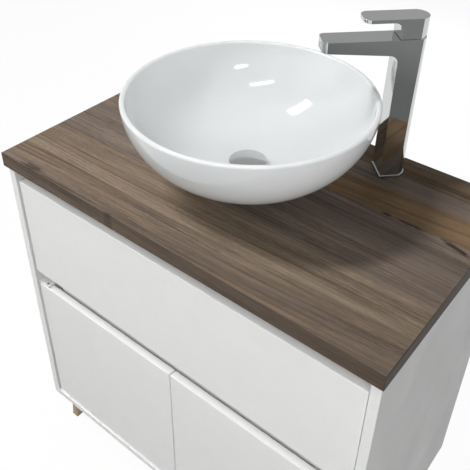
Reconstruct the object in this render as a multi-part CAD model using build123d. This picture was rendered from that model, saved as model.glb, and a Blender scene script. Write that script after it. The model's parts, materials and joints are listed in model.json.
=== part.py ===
from build123d import *
import os
from math import acos, asin, atan2, degrees, hypot, radians, sqrt, tan

# Bathroom vanity: white carcass on splayed legs, one drawer over two doors, a wooden worktop,
# a round vessel basin and a tall single-lever tap turned towards the basin.
# Millimetres. X runs to the right, Y to the wall, Z up. The floor is Z = 0 and the origin
# lies under the middle of the worktop.

# Worktop
TOP_WIDTH = 800.0
TOP_DEPTH = 466.0
TOP_THICKNESS = 30.0
TOP_HEIGHT = 800.0  # floor to the upper face
TOP_EDGE_ROUND = 1.0

# Carcass boards
BOARD = 16.0
SIDE_OVERHANG = 4.0
FRONT_OVERHANG = 7.0
RAIL_WIDTH = 80.0
RAIL_SETBACK = 36.0  # behind the fronts, room for the fingers
MID_RAIL_HEIGHT = 48.0
BACK_RAIL_HEIGHT = 100.0
WALL_HOLE_DIAMETER = 8.0
WALL_HOLE_SPACING = 640.0
DOWEL_DIAMETER = 8.0
DOWEL_LENGTH = 30.0
DOWEL_DEPTH = 12.0  # in the side panel
DOWEL_EDGE = 20.0  # from the edge of a board
DOWEL_FIT = 0.05

# Drawer front and doors
FRONT_RECESS = 4.0  # behind the front edges of the side panels
FRONT_SIDE_GAP = 2.7
FRONT_EDGE_ROUND = 1.2
DRAWER_TOP_GAP = 32.0
DRAWER_FRONT_HEIGHT = 229.5
DOOR_TOP_GAP = 36.5
DOOR_BOTTOM_GAP = 4.0
DOOR_CENTRE_GAP = 2.8

# Pivot hinges at the upper and lower ends of the doors
PIVOT_INSET = 20.0  # from the hinge edge of the door
PIN_DIAMETER = 6.0
PIN_DEPTH = 12.0  # in the door
PIN_FIT = 0.05
BUSH_DIAMETER = 10.0
BUSH_FIT = 0.02
COLLAR_DIAMETER = 13.0
BRACKET_THICKNESS = 2.5
BRACKET_HEIGHT = 30.0
BRACKET_DEPTH = 30.0
BRACKET_NOSE = 9.0  # from the pin to the front and inner edges of the bracket
LEAF_GAP = 1.0  # behind the closed door
RUNNING_GAP = 0.3

# Magnetic catch
CATCH_WIDTH = 48.0
CATCH_HEIGHT = 26.0
CATCH_DEPTH = 30.0
STRIKE_WIDTH = 18.0
STRIKE_HEIGHT = 12.0
STRIKE_THICKNESS = 1.5
STRIKE_EDGE = 3.0  # from the edges of the door

# Legs
LEG_HEIGHT = 103.0
LEG_TOP_WIDTH = 34.0
LEG_FOOT_WIDTH = 18.5
LEG_CORNER_ROUND = 2.0
LEG_SPLAY = 14.0
LEG_INSET_X = 25.5  # from the side of the carcass to the middle of the foot
LEG_INSET_Y = 33.0
PLATE_WIDTH = 56.0
PLATE_THICKNESS = 2.5
STUD_DIAMETER = 8.0
STUD_LENGTH = 28.0
GLIDE_DIAMETER = 14.0
GLIDE_THICKNESS = 3.0
GLIDE_NAIL_DIAMETER = 4.0
GLIDE_NAIL_LENGTH = 10.0
LEG_FIT = 0.05

# Shelf behind the doors
SHELF_HEIGHT = 171.0  # above the bottom panel
SHELF_SIDE_GAP = 1.0
SHELF_SETBACK = 20.0
SHELF_BACK_GAP = 18.0
SHELF_PIN_DIAMETER = 5.0
SHELF_PIN_LENGTH = 18.0
SHELF_PIN_DEPTH = 10.0
SHELF_PIN_INSET = 40.0

# Drawer box with a cut-out round the trap
DRAWER_BOARD = 12.0
DRAWER_BOX_HEIGHT = 150.0
DRAWER_BOX_LIFT = 14.0  # above the lower edge of the drawer front
DRAWER_BACK_CLEARANCE = 39.0
DRAWER_BOTTOM_THICKNESS = 8.0
DRAWER_BOTTOM_LIFT = 10.0
GROOVE_DEPTH = 6.0
NOTCH_WIDTH = 130.0
NOTCH_REACH = 60.0  # in front of the drain

# Drawer runners: outer, middle and inner channel on each side
RUNNER_HEIGHT = 45.0
RUNNER_SPACE = 12.7  # between side panel and drawer side
RUNNER_SHEET = 1.2
RUNNER_LIP = 2.4  # turned-in edge of the outer channel, with the sheet's thickness
RUNNER_PLAY = 0.3
RUNNER_END_GAP = 2.0

# Basin
BASIN_DIAMETER = 427.0
BASIN_HEIGHT = 164.0
BASIN_RIM = 9.0
RIM_FLAT = 0.1  # half of the flat left between the two rounds of the rim
BASIN_FLOOR = 17.0
BELLY_LIFT = 4.0  # lowest point of the outer ellipse above the foot
FOOT_DIAMETER = 124.0
FOOT_FLARE = 2.0
FOOT_RING = 12.0
FOOT_RECESS = 4.0
BASIN_SEAL_THICKNESS = 1.0
BASIN_SEAL_WIDTH = 6.0

# Drain with press cap
DRAIN_HOLE_DIAMETER = 46.0
DRAIN_TUBE_DIAMETER = 41.8
DRAIN_TUBE_WALL = 3.0
DRAIN_TUBE_DROP = 70.0  # below the worktop
DRAIN_SEAT_DEPTH = 2.5
DRAIN_SEAT_PLAY = 1.0
FLANGE_DIAMETER = 66.0
FLANGE_THICKNESS = 2.5
FLANGE_SEAL_THICKNESS = 1.0
THREAD_FIT = 0.05
SPIDER_BAR = 4.0
SPIDER_HEIGHT = 8.0
SPIDER_DROP = 15.0  # from the flange to the lower side of the bars
GUIDE_DIAMETER = 14.0
CAP_DIAMETER = 66.0
CAP_EDGE = 2.0
CAP_CROWN = 3.2
CAP_LIFT = 13.3
STEM_DIAMETER = 5.0
STEM_LENGTH = 34.0
STEM_FIT = 0.05
WASHER_DIAMETER = 68.0
WASHER_THICKNESS = 5.0
DRAIN_NUT_WIDTH = 52.0
DRAIN_NUT_THICKNESS = 12.0

# Bottle trap
TRAP_PIPE_DIAMETER = 32.0
TRAP_PIPE_WALL = 1.5
TRAP_DIAMETER = 54.0
TRAP_WALL = 3.0
TRAP_STUB_DIAMETER = 40.0
TRAP_STUB_LENGTH = 33.0
SPIGOT_DIAMETER = 31.0  # of the outlet pipe's end in the trap
SPIGOT_CLEAR = 3.0  # of that end beyond its nut
TRAP_CUP_WALL = 3.4
TRAP_CUP_HEIGHT = 61.0
TRAP_CUP_LAP = 10.0
TRAP_RIB_COUNT = 12
TRAP_RIB_DIAMETER = 3.0
OUTLET_DEPTH = 180.0  # from the worktop's upper face down to the outlet
OUTLET_TO_TOP = 22.0
OUTLET_TO_BOTTOM = 34.0
DIP_DEPTH = 16.0  # of the inlet tube below the trap body
TRAP_NUT_WALL = 4.0
TRAP_NUT_LAP = 12.0
TRAP_NUT_LIP = 7.0
TRAP_FIT = 0.05

# Tap, in its own frame: X runs from the basin to the column, Y across, Z up from the worktop
TAP_BACK_INSET = 58.062  # from the worktop's rear edge to the tap's axis
TAP_GAP = 16.8  # between basin rim and column
TAP_SHIFT = 6.4  # to the right of the line from the basin's middle
TAP_BASE_WIDTH = 45.6
TAP_HEAD_WIDTH = 40.0
TAP_DEPTH = 47.0
TAP_BACK_BULGE = 15.0
TAP_BODY_HEIGHT = 260.5
TAP_BASE_THICKNESS = 4.5
TAP_BASE_LEDGE = 1.5
TAP_GASKET_THICKNESS = 1.0
TAP_PASSAGE_DIAMETER = 34.0
SPOUT_REACH = 122.0
SPOUT_TIP_THICKNESS = 18.0
SPOUT_ROOT_THICKNESS = 27.0
SPOUT_THROAT = 14.0
SPOUT_CORNER = 9.0
AERATOR_DIAMETER = 22.0
AERATOR_LENGTH = 9.0
AERATOR_PROUD = 2.5
AERATOR_SETBACK = 16.0
AERATOR_BORE = 15.0

# Tap cartridge and lever
CARTRIDGE_DIAMETER = 35.0
CARTRIDGE_HEIGHT = 28.0
CARTRIDGE_NUT_HEIGHT = 7.0
CARTRIDGE_FIT = 0.1
HEAD_SINK = 3.0  # from the top of the column to the nut
SPINDLE_DIAMETER = 18.0
SPINDLE_FIT = 0.08
LEVER_GAP = 0.8
LEVER_WIDTH = 40.0
LEVER_THICKNESS = 6.0
LEVER_RISE = 34.5  # from the top of the column to the top of the lever
LEVER_REACH = 60.0
LEVER_CORNER = 13.0
LEVER_THROAT = 13.0
LEVER_LIFT = 20.0
LEVER_HEEL = 8.2  # from the spindle's axis to the start of the sloping heel
LUG_OFFSET = 6.5
LUG_HEIGHT = 5.5
LUG_DIAMETER = 10.0
LUG_WIDTH = 14.0
LEVER_PIN_DIAMETER = 5.0
LEVER_PIN_LENGTH = 32.0
LEVER_PIN_FIT = 0.05
POCKET_WIDTH = 20.0
POCKET_FRONT = 11.5
POCKET_BACK = 16.5
POCKET_HEIGHT = 21.0

# Tap fixing under the worktop
TAP_HOLE_DIAMETER = 35.0
TAP_STUD_DIAMETER = 8.0
TAP_STUD_OFFSET = 8.0
TAP_STUD_DROP = 55.0  # below the worktop
TAP_STUD_DEPTH = 14.0  # in the column
INLET_DIAMETER = 9.0  # tapped for the supply hoses
INLET_DEPTH = 14.0
INLET_OFFSET = 6.0
INLET_SPREAD = 16.0
SHOE_DIAMETER = 44.0
SHOE_THICKNESS = 3.0
SHOE_SLOT = 28.0
TAP_NUT_WIDTH = 13.0
TAP_NUT_HEIGHT = 12.0
TAP_FIT = 0.05

# Places worked out from the sizes above
top_under = TOP_HEIGHT - TOP_THICKNESS
outer_x = TOP_WIDTH / 2 - SIDE_OVERHANG
inner_x = outer_x - BOARD
back_y = TOP_DEPTH / 2
front_y = -back_y + FRONT_OVERHANG
face_y = front_y + FRONT_RECESS
face_back_y = face_y + BOARD
floor_z = LEG_HEIGHT + BOARD
rail_y = face_back_y + RAIL_SETBACK
drawer_top = top_under - DRAWER_TOP_GAP
drawer_base = drawer_top - DRAWER_FRONT_HEIGHT
door_top = drawer_base - DOOR_TOP_GAP
door_base = floor_z + DOOR_BOTTOM_GAP
mid_rail_top = (drawer_base + door_top + BOARD) / 2
front_x = inner_x - FRONT_SIDE_GAP
drain_end = top_under - DRAIN_TUBE_DROP
drawer_side_x = inner_x - RUNNER_SPACE
basin_z = TOP_HEIGHT + BASIN_SEAL_THICKNESS
flange_z = basin_z + BASIN_FLOOR - DRAIN_SEAT_DEPTH + FLANGE_SEAL_THICKNESS
flange_top = flange_z + FLANGE_THICKNESS
cap_z = flange_top + CAP_LIFT
outlet_z = TOP_HEIGHT - OUTLET_DEPTH
tap_radius = BASIN_DIAMETER / 2 + TAP_GAP + TAP_DEPTH / 2
tap_offset = hypot(tap_radius, TAP_SHIFT)
tap_turn = degrees(asin((back_y - TAP_BACK_INSET) / tap_offset) + atan2(TAP_SHIFT, tap_radius))
tap_place = Rot(0, 0, tap_turn) * Pos(tap_radius, -TAP_SHIFT, TOP_HEIGHT)
tap_front = -TAP_DEPTH / 2
tap_foot = TAP_GASKET_THICKNESS + TAP_BASE_THICKNESS
nut_top = TAP_BODY_HEIGHT - HEAD_SINK
cartridge_top = nut_top - CARTRIDGE_NUT_HEIGHT
cartridge_base = cartridge_top - CARTRIDGE_HEIGHT
lever_base = TAP_BODY_HEIGHT + LEVER_GAP
lug_z = TAP_BODY_HEIGHT + LUG_HEIGHT
aerator_x = tap_front - SPOUT_REACH + AERATOR_SETBACK
spout_slope = (SPOUT_ROOT_THICKNESS - SPOUT_TIP_THICKNESS) / SPOUT_REACH
aerator_z = TAP_BODY_HEIGHT - SPOUT_TIP_THICKNESS - spout_slope * AERATOR_SETBACK - AERATOR_PROUD
stud_top = tap_foot + TAP_STUD_DEPTH

nodes = {}


def block(x0, x1, y0, y1, z0, z1):
    """Box between two corners."""
    middle = Pos((x0 + x1) / 2, (y0 + y1) / 2, (z0 + z1) / 2)
    return middle * Box(abs(x1 - x0), abs(y1 - y0), abs(z1 - z0))


def upright(x, y, z0, z1, diameter):
    """Round rod along Z."""
    return Pos(x, y, (z0 + z1) / 2) * Cylinder(diameter / 2, abs(z1 - z0))


def along_x(x0, x1, y, z, diameter):
    """Round rod along X."""
    return Pos((x0 + x1) / 2, y, z) * Rot(0, 90, 0) * Cylinder(diameter / 2, abs(x1 - x0))


def along_y(x, y0, y1, z, diameter):
    """Round rod along Y."""
    return Pos(x, (y0 + y1) / 2, z) * Rot(90, 0, 0) * Cylinder(diameter / 2, y1 - y0)


def turned(profile):
    """Solid of revolution about Z from a profile drawn as radius and height."""
    return revolve(Plane.XZ * profile, Axis.Z)


def hexagon(x, y, z0, z1, width):
    """Hexagonal prism with the given width across its flats."""
    return Pos(x, y, z0) * extrude(RegularPolygon(width / sqrt(3), 6), z1 - z0)


def grip_ring(z0, z1, diameter):
    """Round piece along Z with ribs for the hand."""
    ring = upright(0, 0, z0, z1, diameter)
    for spot in PolarLocations(diameter / 2, TRAP_RIB_COUNT):
        ring += spot * upright(0, 0, z0, z1, TRAP_RIB_DIAMETER)
    return ring


def both_sides(solid):
    """The solid and its mirror image in the middle plane of the vanity."""
    return Part() + [solid, mirror(solid, Plane.YZ)]


def carcass():
    """Side panels, bottom, rails and the dowels that join them."""
    side = block(inner_x, outer_x, front_y, back_y, LEG_HEIGHT, top_under)
    boards = {
        "bottom_panel": (front_y, back_y, LEG_HEIGHT, floor_z),
        "front_top_rail": (rail_y, rail_y + RAIL_WIDTH, top_under - BOARD, top_under),
        "mid_rail": (rail_y, rail_y + BOARD, mid_rail_top - MID_RAIL_HEIGHT, mid_rail_top),
        "upper_back_rail": (back_y - BOARD, back_y, top_under - BACK_RAIL_HEIGHT, top_under),
        "lower_back_rail": (back_y - BOARD, back_y, floor_z, floor_z + BACK_RAIL_HEIGHT),
    }
    dowels = []
    inner_end = inner_x + DOWEL_DEPTH - DOWEL_LENGTH
    for name, (y0, y1, z0, z1) in boards.items():
        board = block(-inner_x, inner_x, y0, y1, z0, z1)
        if y1 - y0 > z1 - z0:
            spots = [(y, (z0 + z1) / 2) for y in (y0 + DOWEL_EDGE, y1 - DOWEL_EDGE)]
        else:
            spots = [((y0 + y1) / 2, z) for z in (z0 + DOWEL_EDGE, z1 - DOWEL_EDGE)]
        for y, z in spots:
            dowels.append(along_x(inner_end, inner_end + DOWEL_LENGTH, y, z, DOWEL_DIAMETER))
            hole_diameter = DOWEL_DIAMETER + 2 * DOWEL_FIT
            hole = along_x(inner_end, inner_end + DOWEL_LENGTH, y, z, hole_diameter)
            side -= hole
            board -= both_sides(hole)
        nodes[name] = board
    for x in (-WALL_HOLE_SPACING / 2, WALL_HOLE_SPACING / 2):
        hole_z = top_under - BACK_RAIL_HEIGHT / 2
        nodes["upper_back_rail"] -= along_y(x, back_y - BOARD, back_y, hole_z, WALL_HOLE_DIAMETER)
    nodes["carcass_dowels"] = Part() + [both_sides(dowel) for dowel in dowels]
    return side


def shelf(side):
    """Shelf on four pins; returns the side panel with the holes for its pins."""
    base = floor_z + SHELF_HEIGHT
    y0 = face_back_y + SHELF_SETBACK
    y1 = back_y - SHELF_BACK_GAP
    half = inner_x - SHELF_SIDE_GAP
    nodes["shelf"] = block(-half, half, y0, y1, base, base + BOARD)
    pins = []
    for y in (y0 + SHELF_PIN_INSET, y1 - SHELF_PIN_INSET):
        end = inner_x + SHELF_PIN_DEPTH
        axis_z = base - SHELF_PIN_DIAMETER / 2
        pins.append(along_x(end - SHELF_PIN_LENGTH, end, y, axis_z, SHELF_PIN_DIAMETER))
        side -= along_x(inner_x, end, y, axis_z, SHELF_PIN_DIAMETER + 2 * DOWEL_FIT)
    nodes["shelf_pins"] = Part() + [both_sides(pin) for pin in pins]
    return side


def legs():
    """Tapered splayed legs with their plates, studs and glides."""
    plates = []
    glides = []
    plate_z = LEG_HEIGHT - PLATE_THICKNESS
    for depth, way_y, edge_y in (("front", -1, front_y), ("rear", 1, back_y)):
        for hand, way_x in (("left", -1), ("right", 1)):
            foot_x = way_x * (outer_x - LEG_INSET_X)
            foot_y = edge_y - way_y * LEG_INSET_Y
            head_x = foot_x - way_x * LEG_SPLAY
            head_y = foot_y - way_y * LEG_SPLAY
            foot = RectangleRounded(LEG_FOOT_WIDTH, LEG_FOOT_WIDTH, LEG_CORNER_ROUND)
            head = RectangleRounded(LEG_TOP_WIDTH, LEG_TOP_WIDTH, LEG_CORNER_ROUND)
            at_foot = Pos(foot_x, foot_y, GLIDE_THICKNESS)
            at_head = Pos(head_x, head_y, plate_z)
            leg = loft([at_foot * foot, at_head * head])
            leg -= at_head * upright(0, 0, -STUD_LENGTH, 0, STUD_DIAMETER + 2 * LEG_FIT)
            leg -= at_foot * upright(0, 0, 0, GLIDE_NAIL_LENGTH, GLIDE_NAIL_DIAMETER + 2 * LEG_FIT)
            nodes[f"leg_{depth}_{hand}"] = leg
            plate = extrude(RectangleRounded(PLATE_WIDTH, PLATE_WIDTH, LEG_CORNER_ROUND), PLATE_THICKNESS)
            plates.append(at_head * (plate + upright(0, 0, -STUD_LENGTH, 0, STUD_DIAMETER)))
            glide = upright(0, 0, -GLIDE_THICKNESS, 0, GLIDE_DIAMETER)
            glides.append(at_foot * (glide + upright(0, 0, 0, GLIDE_NAIL_LENGTH, GLIDE_NAIL_DIAMETER)))
    nodes["leg_plates"] = Part() + plates
    nodes["leg_glides"] = Part() + glides


def worktop():
    """Worktop with the holes for the drain and the tap."""
    board = block(-TOP_WIDTH / 2, TOP_WIDTH / 2, -back_y, back_y, top_under, TOP_HEIGHT)
    board = fillet(board.faces().sort_by(Axis.Z)[-1].edges(), TOP_EDGE_ROUND)
    board -= upright(0, 0, top_under, TOP_HEIGHT, DRAIN_HOLE_DIAMETER)
    board -= tap_place * upright(0, 0, -TOP_THICKNESS, 0, TAP_HOLE_DIAMETER)
    nodes["worktop"] = board


def pivot(door_end, way):
    """Pivot hinge of the right-hand door at one end: bracket, pin and bush, and the bush's hole."""
    pin_x = front_x - PIVOT_INSET
    pin_y = (face_y + face_back_y) / 2
    seat_z = door_end + way * (DOOR_BOTTOM_GAP - BRACKET_THICKNESS)
    tongue_z = seat_z + way * BRACKET_THICKNESS
    collar_z = seat_z - way * RUNNING_GAP
    hole_end = door_end - way * (PIN_DEPTH + BRACKET_THICKNESS)
    nose = min(BRACKET_NOSE, BOARD / 2 - FRONT_EDGE_ROUND)
    leaf_y = face_back_y + LEAF_GAP
    rear_y = leaf_y + BRACKET_DEPTH
    leaf_x = inner_x - BRACKET_THICKNESS
    leaf_z = min(seat_z, tongue_z)
    bracket = block(pin_x - BRACKET_NOSE, inner_x, pin_y - nose, rear_y, seat_z, tongue_z)
    bracket += block(leaf_x, inner_x, leaf_y, rear_y, leaf_z, leaf_z + BRACKET_HEIGHT)
    bracket -= upright(pin_x, pin_y, seat_z, tongue_z, PIN_DIAMETER + 2 * BUSH_FIT)
    pin = upright(pin_x, pin_y, tongue_z, door_end - way * PIN_DEPTH, PIN_DIAMETER)
    hole = upright(pin_x, pin_y, door_end, hole_end, BUSH_DIAMETER)
    bush = upright(pin_x, pin_y, door_end, hole_end, BUSH_DIAMETER - 2 * BUSH_FIT)
    bush += upright(pin_x, pin_y, door_end, collar_z, COLLAR_DIAMETER)
    bush -= upright(pin_x, pin_y, collar_z, hole_end, PIN_DIAMETER + 2 * PIN_FIT)
    return bracket, pin, bush, hole


def doors():
    """Doors with bushes and strike plates, and the pivots and catch on the carcass."""
    door = block(DOOR_CENTRE_GAP / 2, front_x, face_y, face_back_y, door_base, door_top)
    door = fillet(door.faces().sort_by(Axis.Y)[0].edges(), FRONT_EDGE_ROUND)
    pivots = [pivot(door_base, -1), pivot(door_top, 1)]
    for bracket, pin, bush, hole in pivots:
        door -= hole
    strike_x = DOOR_CENTRE_GAP / 2 + STRIKE_EDGE
    strike_y = face_back_y + STRIKE_THICKNESS
    strike_z = door_base + STRIKE_EDGE
    strike = block(0, STRIKE_WIDTH, face_back_y, strike_y, strike_z, strike_z + STRIKE_HEIGHT)
    right_hand = {
        "door": door,
        "door_bushes": Part() + [bush for _, _, bush, _ in pivots],
        "door_strike": Pos(strike_x, 0, 0) * strike,
    }
    for name, solid in right_hand.items():
        nodes[f"{name}_right"] = solid
        nodes[f"{name}_left"] = mirror(solid, Plane.YZ)
    nodes["pivot_brackets"] = Part() + [both_sides(bracket) for bracket, _, _, _ in pivots]
    nodes["pivot_pins"] = Part() + [both_sides(pin) for _, pin, _, _ in pivots]
    half = CATCH_WIDTH / 2
    catch_y = strike_y + RUNNING_GAP
    catch_top = floor_z + CATCH_HEIGHT
    nodes["door_catch"] = block(-half, half, catch_y, catch_y + CATCH_DEPTH, floor_z, catch_top)


def drawer():
    """Drawer front and box, with a cut-out at the back for the trap."""
    base = drawer_base + DRAWER_BOX_LIFT
    top = base + DRAWER_BOX_HEIGHT
    rear = back_y - DRAWER_BACK_CLEARANCE
    side_in = drawer_side_x - DRAWER_BOARD
    bottom_z = base + DRAWER_BOTTOM_LIFT
    bottom_top = bottom_z + DRAWER_BOTTOM_THICKNESS
    bottom_x = side_in + GROOVE_DEPTH
    bottom_y = face_back_y - GROOVE_DEPTH
    notch_in = NOTCH_WIDTH / 2
    notch_out = notch_in + DRAWER_BOARD
    fence_y = -NOTCH_REACH - DRAWER_BOARD
    front = block(-front_x, front_x, face_y, face_back_y, drawer_base, drawer_top)
    front = fillet(front.faces().sort_by(Axis.Y)[0].edges(), FRONT_EDGE_ROUND)
    bottom = block(-bottom_x, bottom_x, bottom_y, rear - DRAWER_BOARD, bottom_z, bottom_top)
    side = block(side_in, drawer_side_x, face_back_y, rear, base, top)
    nodes["drawer_front"] = front - bottom
    nodes["drawer_side_right"] = side - bottom
    nodes["drawer_side_left"] = mirror(side - bottom, Plane.YZ)
    nodes["drawer_bottom"] = bottom - block(-notch_out, notch_out, fence_y, rear, base, top)
    nodes["drawer_backs"] = both_sides(block(notch_out, side_in, rear - DRAWER_BOARD, rear, base, top))
    cheek = block(notch_in, notch_out, fence_y, rear, base, top)
    fence = block(-notch_in, notch_in, fence_y, -NOTCH_REACH, base, top)
    notch_boards = [cheek, mirror(cheek, Plane.YZ), fence]
    nodes["drawer_notch_boards"] = Compound([board.solid() for board in notch_boards])
    runners((base + top) / 2, face_back_y + RUNNER_END_GAP, rear)


def channel(half_height, web, edge):
    """Section of a runner channel, from its web by the side panel or drawer to its open edge."""
    inner_web = web + RUNNER_SHEET if edge > web else web - RUNNER_SHEET
    section = Pos((web + edge) / 2, 0) * Rectangle(abs(edge - web), 2 * half_height)
    hollow = Rectangle(abs(edge - inner_web), 2 * (half_height - RUNNER_SHEET))
    return section - Pos((inner_web + edge) / 2, 0) * hollow


def runners(middle_z, y0, y1):
    """Three nested channels on each side of the drawer."""
    step = RUNNER_SHEET + RUNNER_PLAY
    half = RUNNER_HEIGHT / 2
    mouth = RUNNER_SPACE - 2 * RUNNER_PLAY
    lip_rows = (RUNNER_LIP / 2 - half, half - RUNNER_LIP / 2)
    lips = [Pos(mouth - RUNNER_SHEET / 2, z) * Rectangle(RUNNER_SHEET, RUNNER_LIP) for z in lip_rows]
    sections = {
        "outer": channel(half, 0, mouth) + lips,
        "middle": channel(half - step, step, mouth - step),
        "inner": channel(half - 2 * step, RUNNER_SPACE, 2 * step),
    }
    for name, section in sections.items():
        bar = extrude(Plane.XZ * section, y0 - y1)
        bar = Pos(inner_x, y0, middle_z) * mirror(bar, Plane.YZ)
        nodes[f"runner_{name}s"] = both_sides(bar)


def basin():
    """Round basin turned from an elliptical outer and inner curve, with its seal on the worktop."""
    radius = BASIN_DIAMETER / 2
    outer_depth = BASIN_HEIGHT - BELLY_LIFT
    inner_radius = radius - BASIN_RIM
    inner_depth = BASIN_HEIGHT - BASIN_FLOOR
    foot = FOOT_DIAMETER / 2
    seat = FLANGE_DIAMETER / 2 + DRAIN_SEAT_PLAY
    hole = DRAIN_HOLE_DIAMETER / 2
    seat_z = BASIN_FLOOR - DRAIN_SEAT_DEPTH
    belly_turn = degrees(acos((foot + FOOT_FLARE) / radius))
    bowl_turn = degrees(acos(seat / inner_radius))
    middle = (0, BASIN_HEIGHT)
    belly = EllipticalCenterArc(middle, radius, outer_depth, -belly_turn, arc_size=belly_turn)
    bowl = EllipticalCenterArc(middle, inner_radius, inner_depth, -bowl_turn, arc_size=bowl_turn)
    rim = Line(belly @ 1, bowl @ 1)
    under = Polyline(
        bowl @ 0,
        (seat, seat_z),
        (hole, seat_z),
        (hole, FOOT_RECESS),
        (foot - FOOT_RING, FOOT_RECESS),
        (foot - FOOT_RING, 0),
        (foot, 0),
        belly @ 0,
    )
    profile = make_face([belly, rim, bowl, under])
    rim_corners = profile.vertices().group_by(Axis.Y)[-1]
    profile = fillet(rim_corners, BASIN_RIM / 2 - RIM_FLAT)
    nodes["basin"] = Pos(0, 0, basin_z) * turned(profile)
    ring_middle = FOOT_DIAMETER - FOOT_RING
    seal = upright(0, 0, TOP_HEIGHT, basin_z, ring_middle + BASIN_SEAL_WIDTH)
    nodes["basin_seal"] = seal - upright(0, 0, TOP_HEIGHT, basin_z, ring_middle - BASIN_SEAL_WIDTH)


def drain():
    """Drain body with its seals and nut, and the press cap on its stem."""
    bore = DRAIN_TUBE_DIAMETER - 2 * DRAIN_TUBE_WALL
    bars_z = flange_top - SPIDER_DROP
    body = upright(0, 0, drain_end, flange_top, DRAIN_TUBE_DIAMETER)
    body += upright(0, 0, flange_z, flange_top, FLANGE_DIAMETER)
    body -= upright(0, 0, drain_end, flange_top, bore)
    reach = bore / 2 + DRAIN_TUBE_WALL / 2
    spider = block(-reach, reach, -SPIDER_BAR / 2, SPIDER_BAR / 2, bars_z, bars_z + SPIDER_HEIGHT)
    spider += block(-SPIDER_BAR / 2, SPIDER_BAR / 2, -reach, reach, bars_z, bars_z + SPIDER_HEIGHT)
    spider += upright(0, 0, bars_z, bars_z + SPIDER_HEIGHT, GUIDE_DIAMETER)
    spider -= upright(0, 0, bars_z, bars_z + SPIDER_HEIGHT, STEM_DIAMETER + 2 * STEM_FIT)
    nodes["drain_body"] = body + spider
    thread = DRAIN_TUBE_DIAMETER + 2 * THREAD_FIT
    seal_z = flange_z - FLANGE_SEAL_THICKNESS
    seal = upright(0, 0, seal_z, flange_z, FLANGE_DIAMETER)
    nodes["drain_flange_seal"] = seal - upright(0, 0, seal_z, flange_z, DRAIN_HOLE_DIAMETER)
    washer_z = top_under - WASHER_THICKNESS
    washer = upright(0, 0, washer_z, top_under, WASHER_DIAMETER)
    nodes["drain_washer"] = washer - upright(0, 0, washer_z, top_under, thread)
    nut_z = washer_z - DRAIN_NUT_THICKNESS
    nut = hexagon(0, 0, nut_z, washer_z, DRAIN_NUT_WIDTH)
    nodes["drain_nut"] = nut - upright(0, 0, nut_z, washer_z, thread)
    cap_radius = CAP_DIAMETER / 2
    side = Polyline((0, CAP_EDGE + CAP_CROWN), (0, 0), (cap_radius, 0), (cap_radius, CAP_EDGE))
    crown = RadiusArc(side @ 1, side @ 0, -(cap_radius**2 + CAP_CROWN**2) / (2 * CAP_CROWN))
    nodes["drain_cap"] = Pos(0, 0, cap_z) * turned(make_face([side, crown]))
    nodes["cap_stem"] = upright(0, 0, cap_z - STEM_LENGTH, cap_z, STEM_DIAMETER)


def trap():
    """Bottle trap under the drain, with its outlet to the wall."""
    pipe = TRAP_PIPE_DIAMETER
    pipe_hole = pipe + 2 * TRAP_FIT
    spigot_hole = SPIGOT_DIAMETER + 2 * TRAP_FIT
    body_top = outlet_z + OUTLET_TO_TOP
    body_base = outlet_z - OUTLET_TO_BOTTOM
    inside = TRAP_DIAMETER - 2 * TRAP_WALL
    dip = body_base - DIP_DEPTH
    stub_end = TRAP_DIAMETER / 2 + TRAP_STUB_LENGTH
    flange_under = drain_end - TRAP_PIPE_WALL
    tube = upright(0, 0, dip, drain_end, pipe)
    tube += upright(0, 0, flange_under, drain_end, DRAIN_TUBE_DIAMETER)
    nodes["trap_inlet_tube"] = tube - upright(0, 0, dip, drain_end, pipe - 2 * TRAP_PIPE_WALL)
    body = upright(0, 0, body_base, body_top, TRAP_DIAMETER)
    body += along_y(0, 0, stub_end, outlet_z, TRAP_STUB_DIAMETER)
    body -= upright(0, 0, body_base, body_top - TRAP_WALL, inside)
    body -= upright(0, 0, body_base, body_top, pipe_hole)
    nodes["trap_body"] = body - along_y(0, 0, stub_end, outlet_z, spigot_hole)
    cup_inside = TRAP_DIAMETER + 2 * TRAP_FIT
    cup_base = body_base + TRAP_CUP_LAP - TRAP_CUP_HEIGHT
    cup_outside = cup_inside + 2 * TRAP_CUP_WALL
    cup_top = body_base + TRAP_CUP_LAP
    cup = grip_ring(cup_base, cup_top, cup_outside)
    cup -= upright(0, 0, body_base, cup_top, cup_inside)
    nodes["trap_cup"] = cup - upright(0, 0, cup_base + TRAP_WALL, body_base, inside)
    pipe_start = stub_end - TRAP_STUB_LENGTH + TRAP_NUT_LAP
    shoulder = stub_end + TRAP_NUT_LIP + SPIGOT_CLEAR
    outlet = along_y(0, pipe_start, shoulder, outlet_z, SPIGOT_DIAMETER)
    outlet += along_y(0, shoulder, back_y, outlet_z, pipe)
    outlet -= along_y(0, pipe_start, back_y, outlet_z, pipe - 2 * TRAP_PIPE_WALL)
    nodes["trap_outlet_pipe"] = outlet
    nodes["trap_nuts"] = Part() + trap_nuts(flange_under, body_top, stub_end, pipe_hole, spigot_hole)


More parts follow.
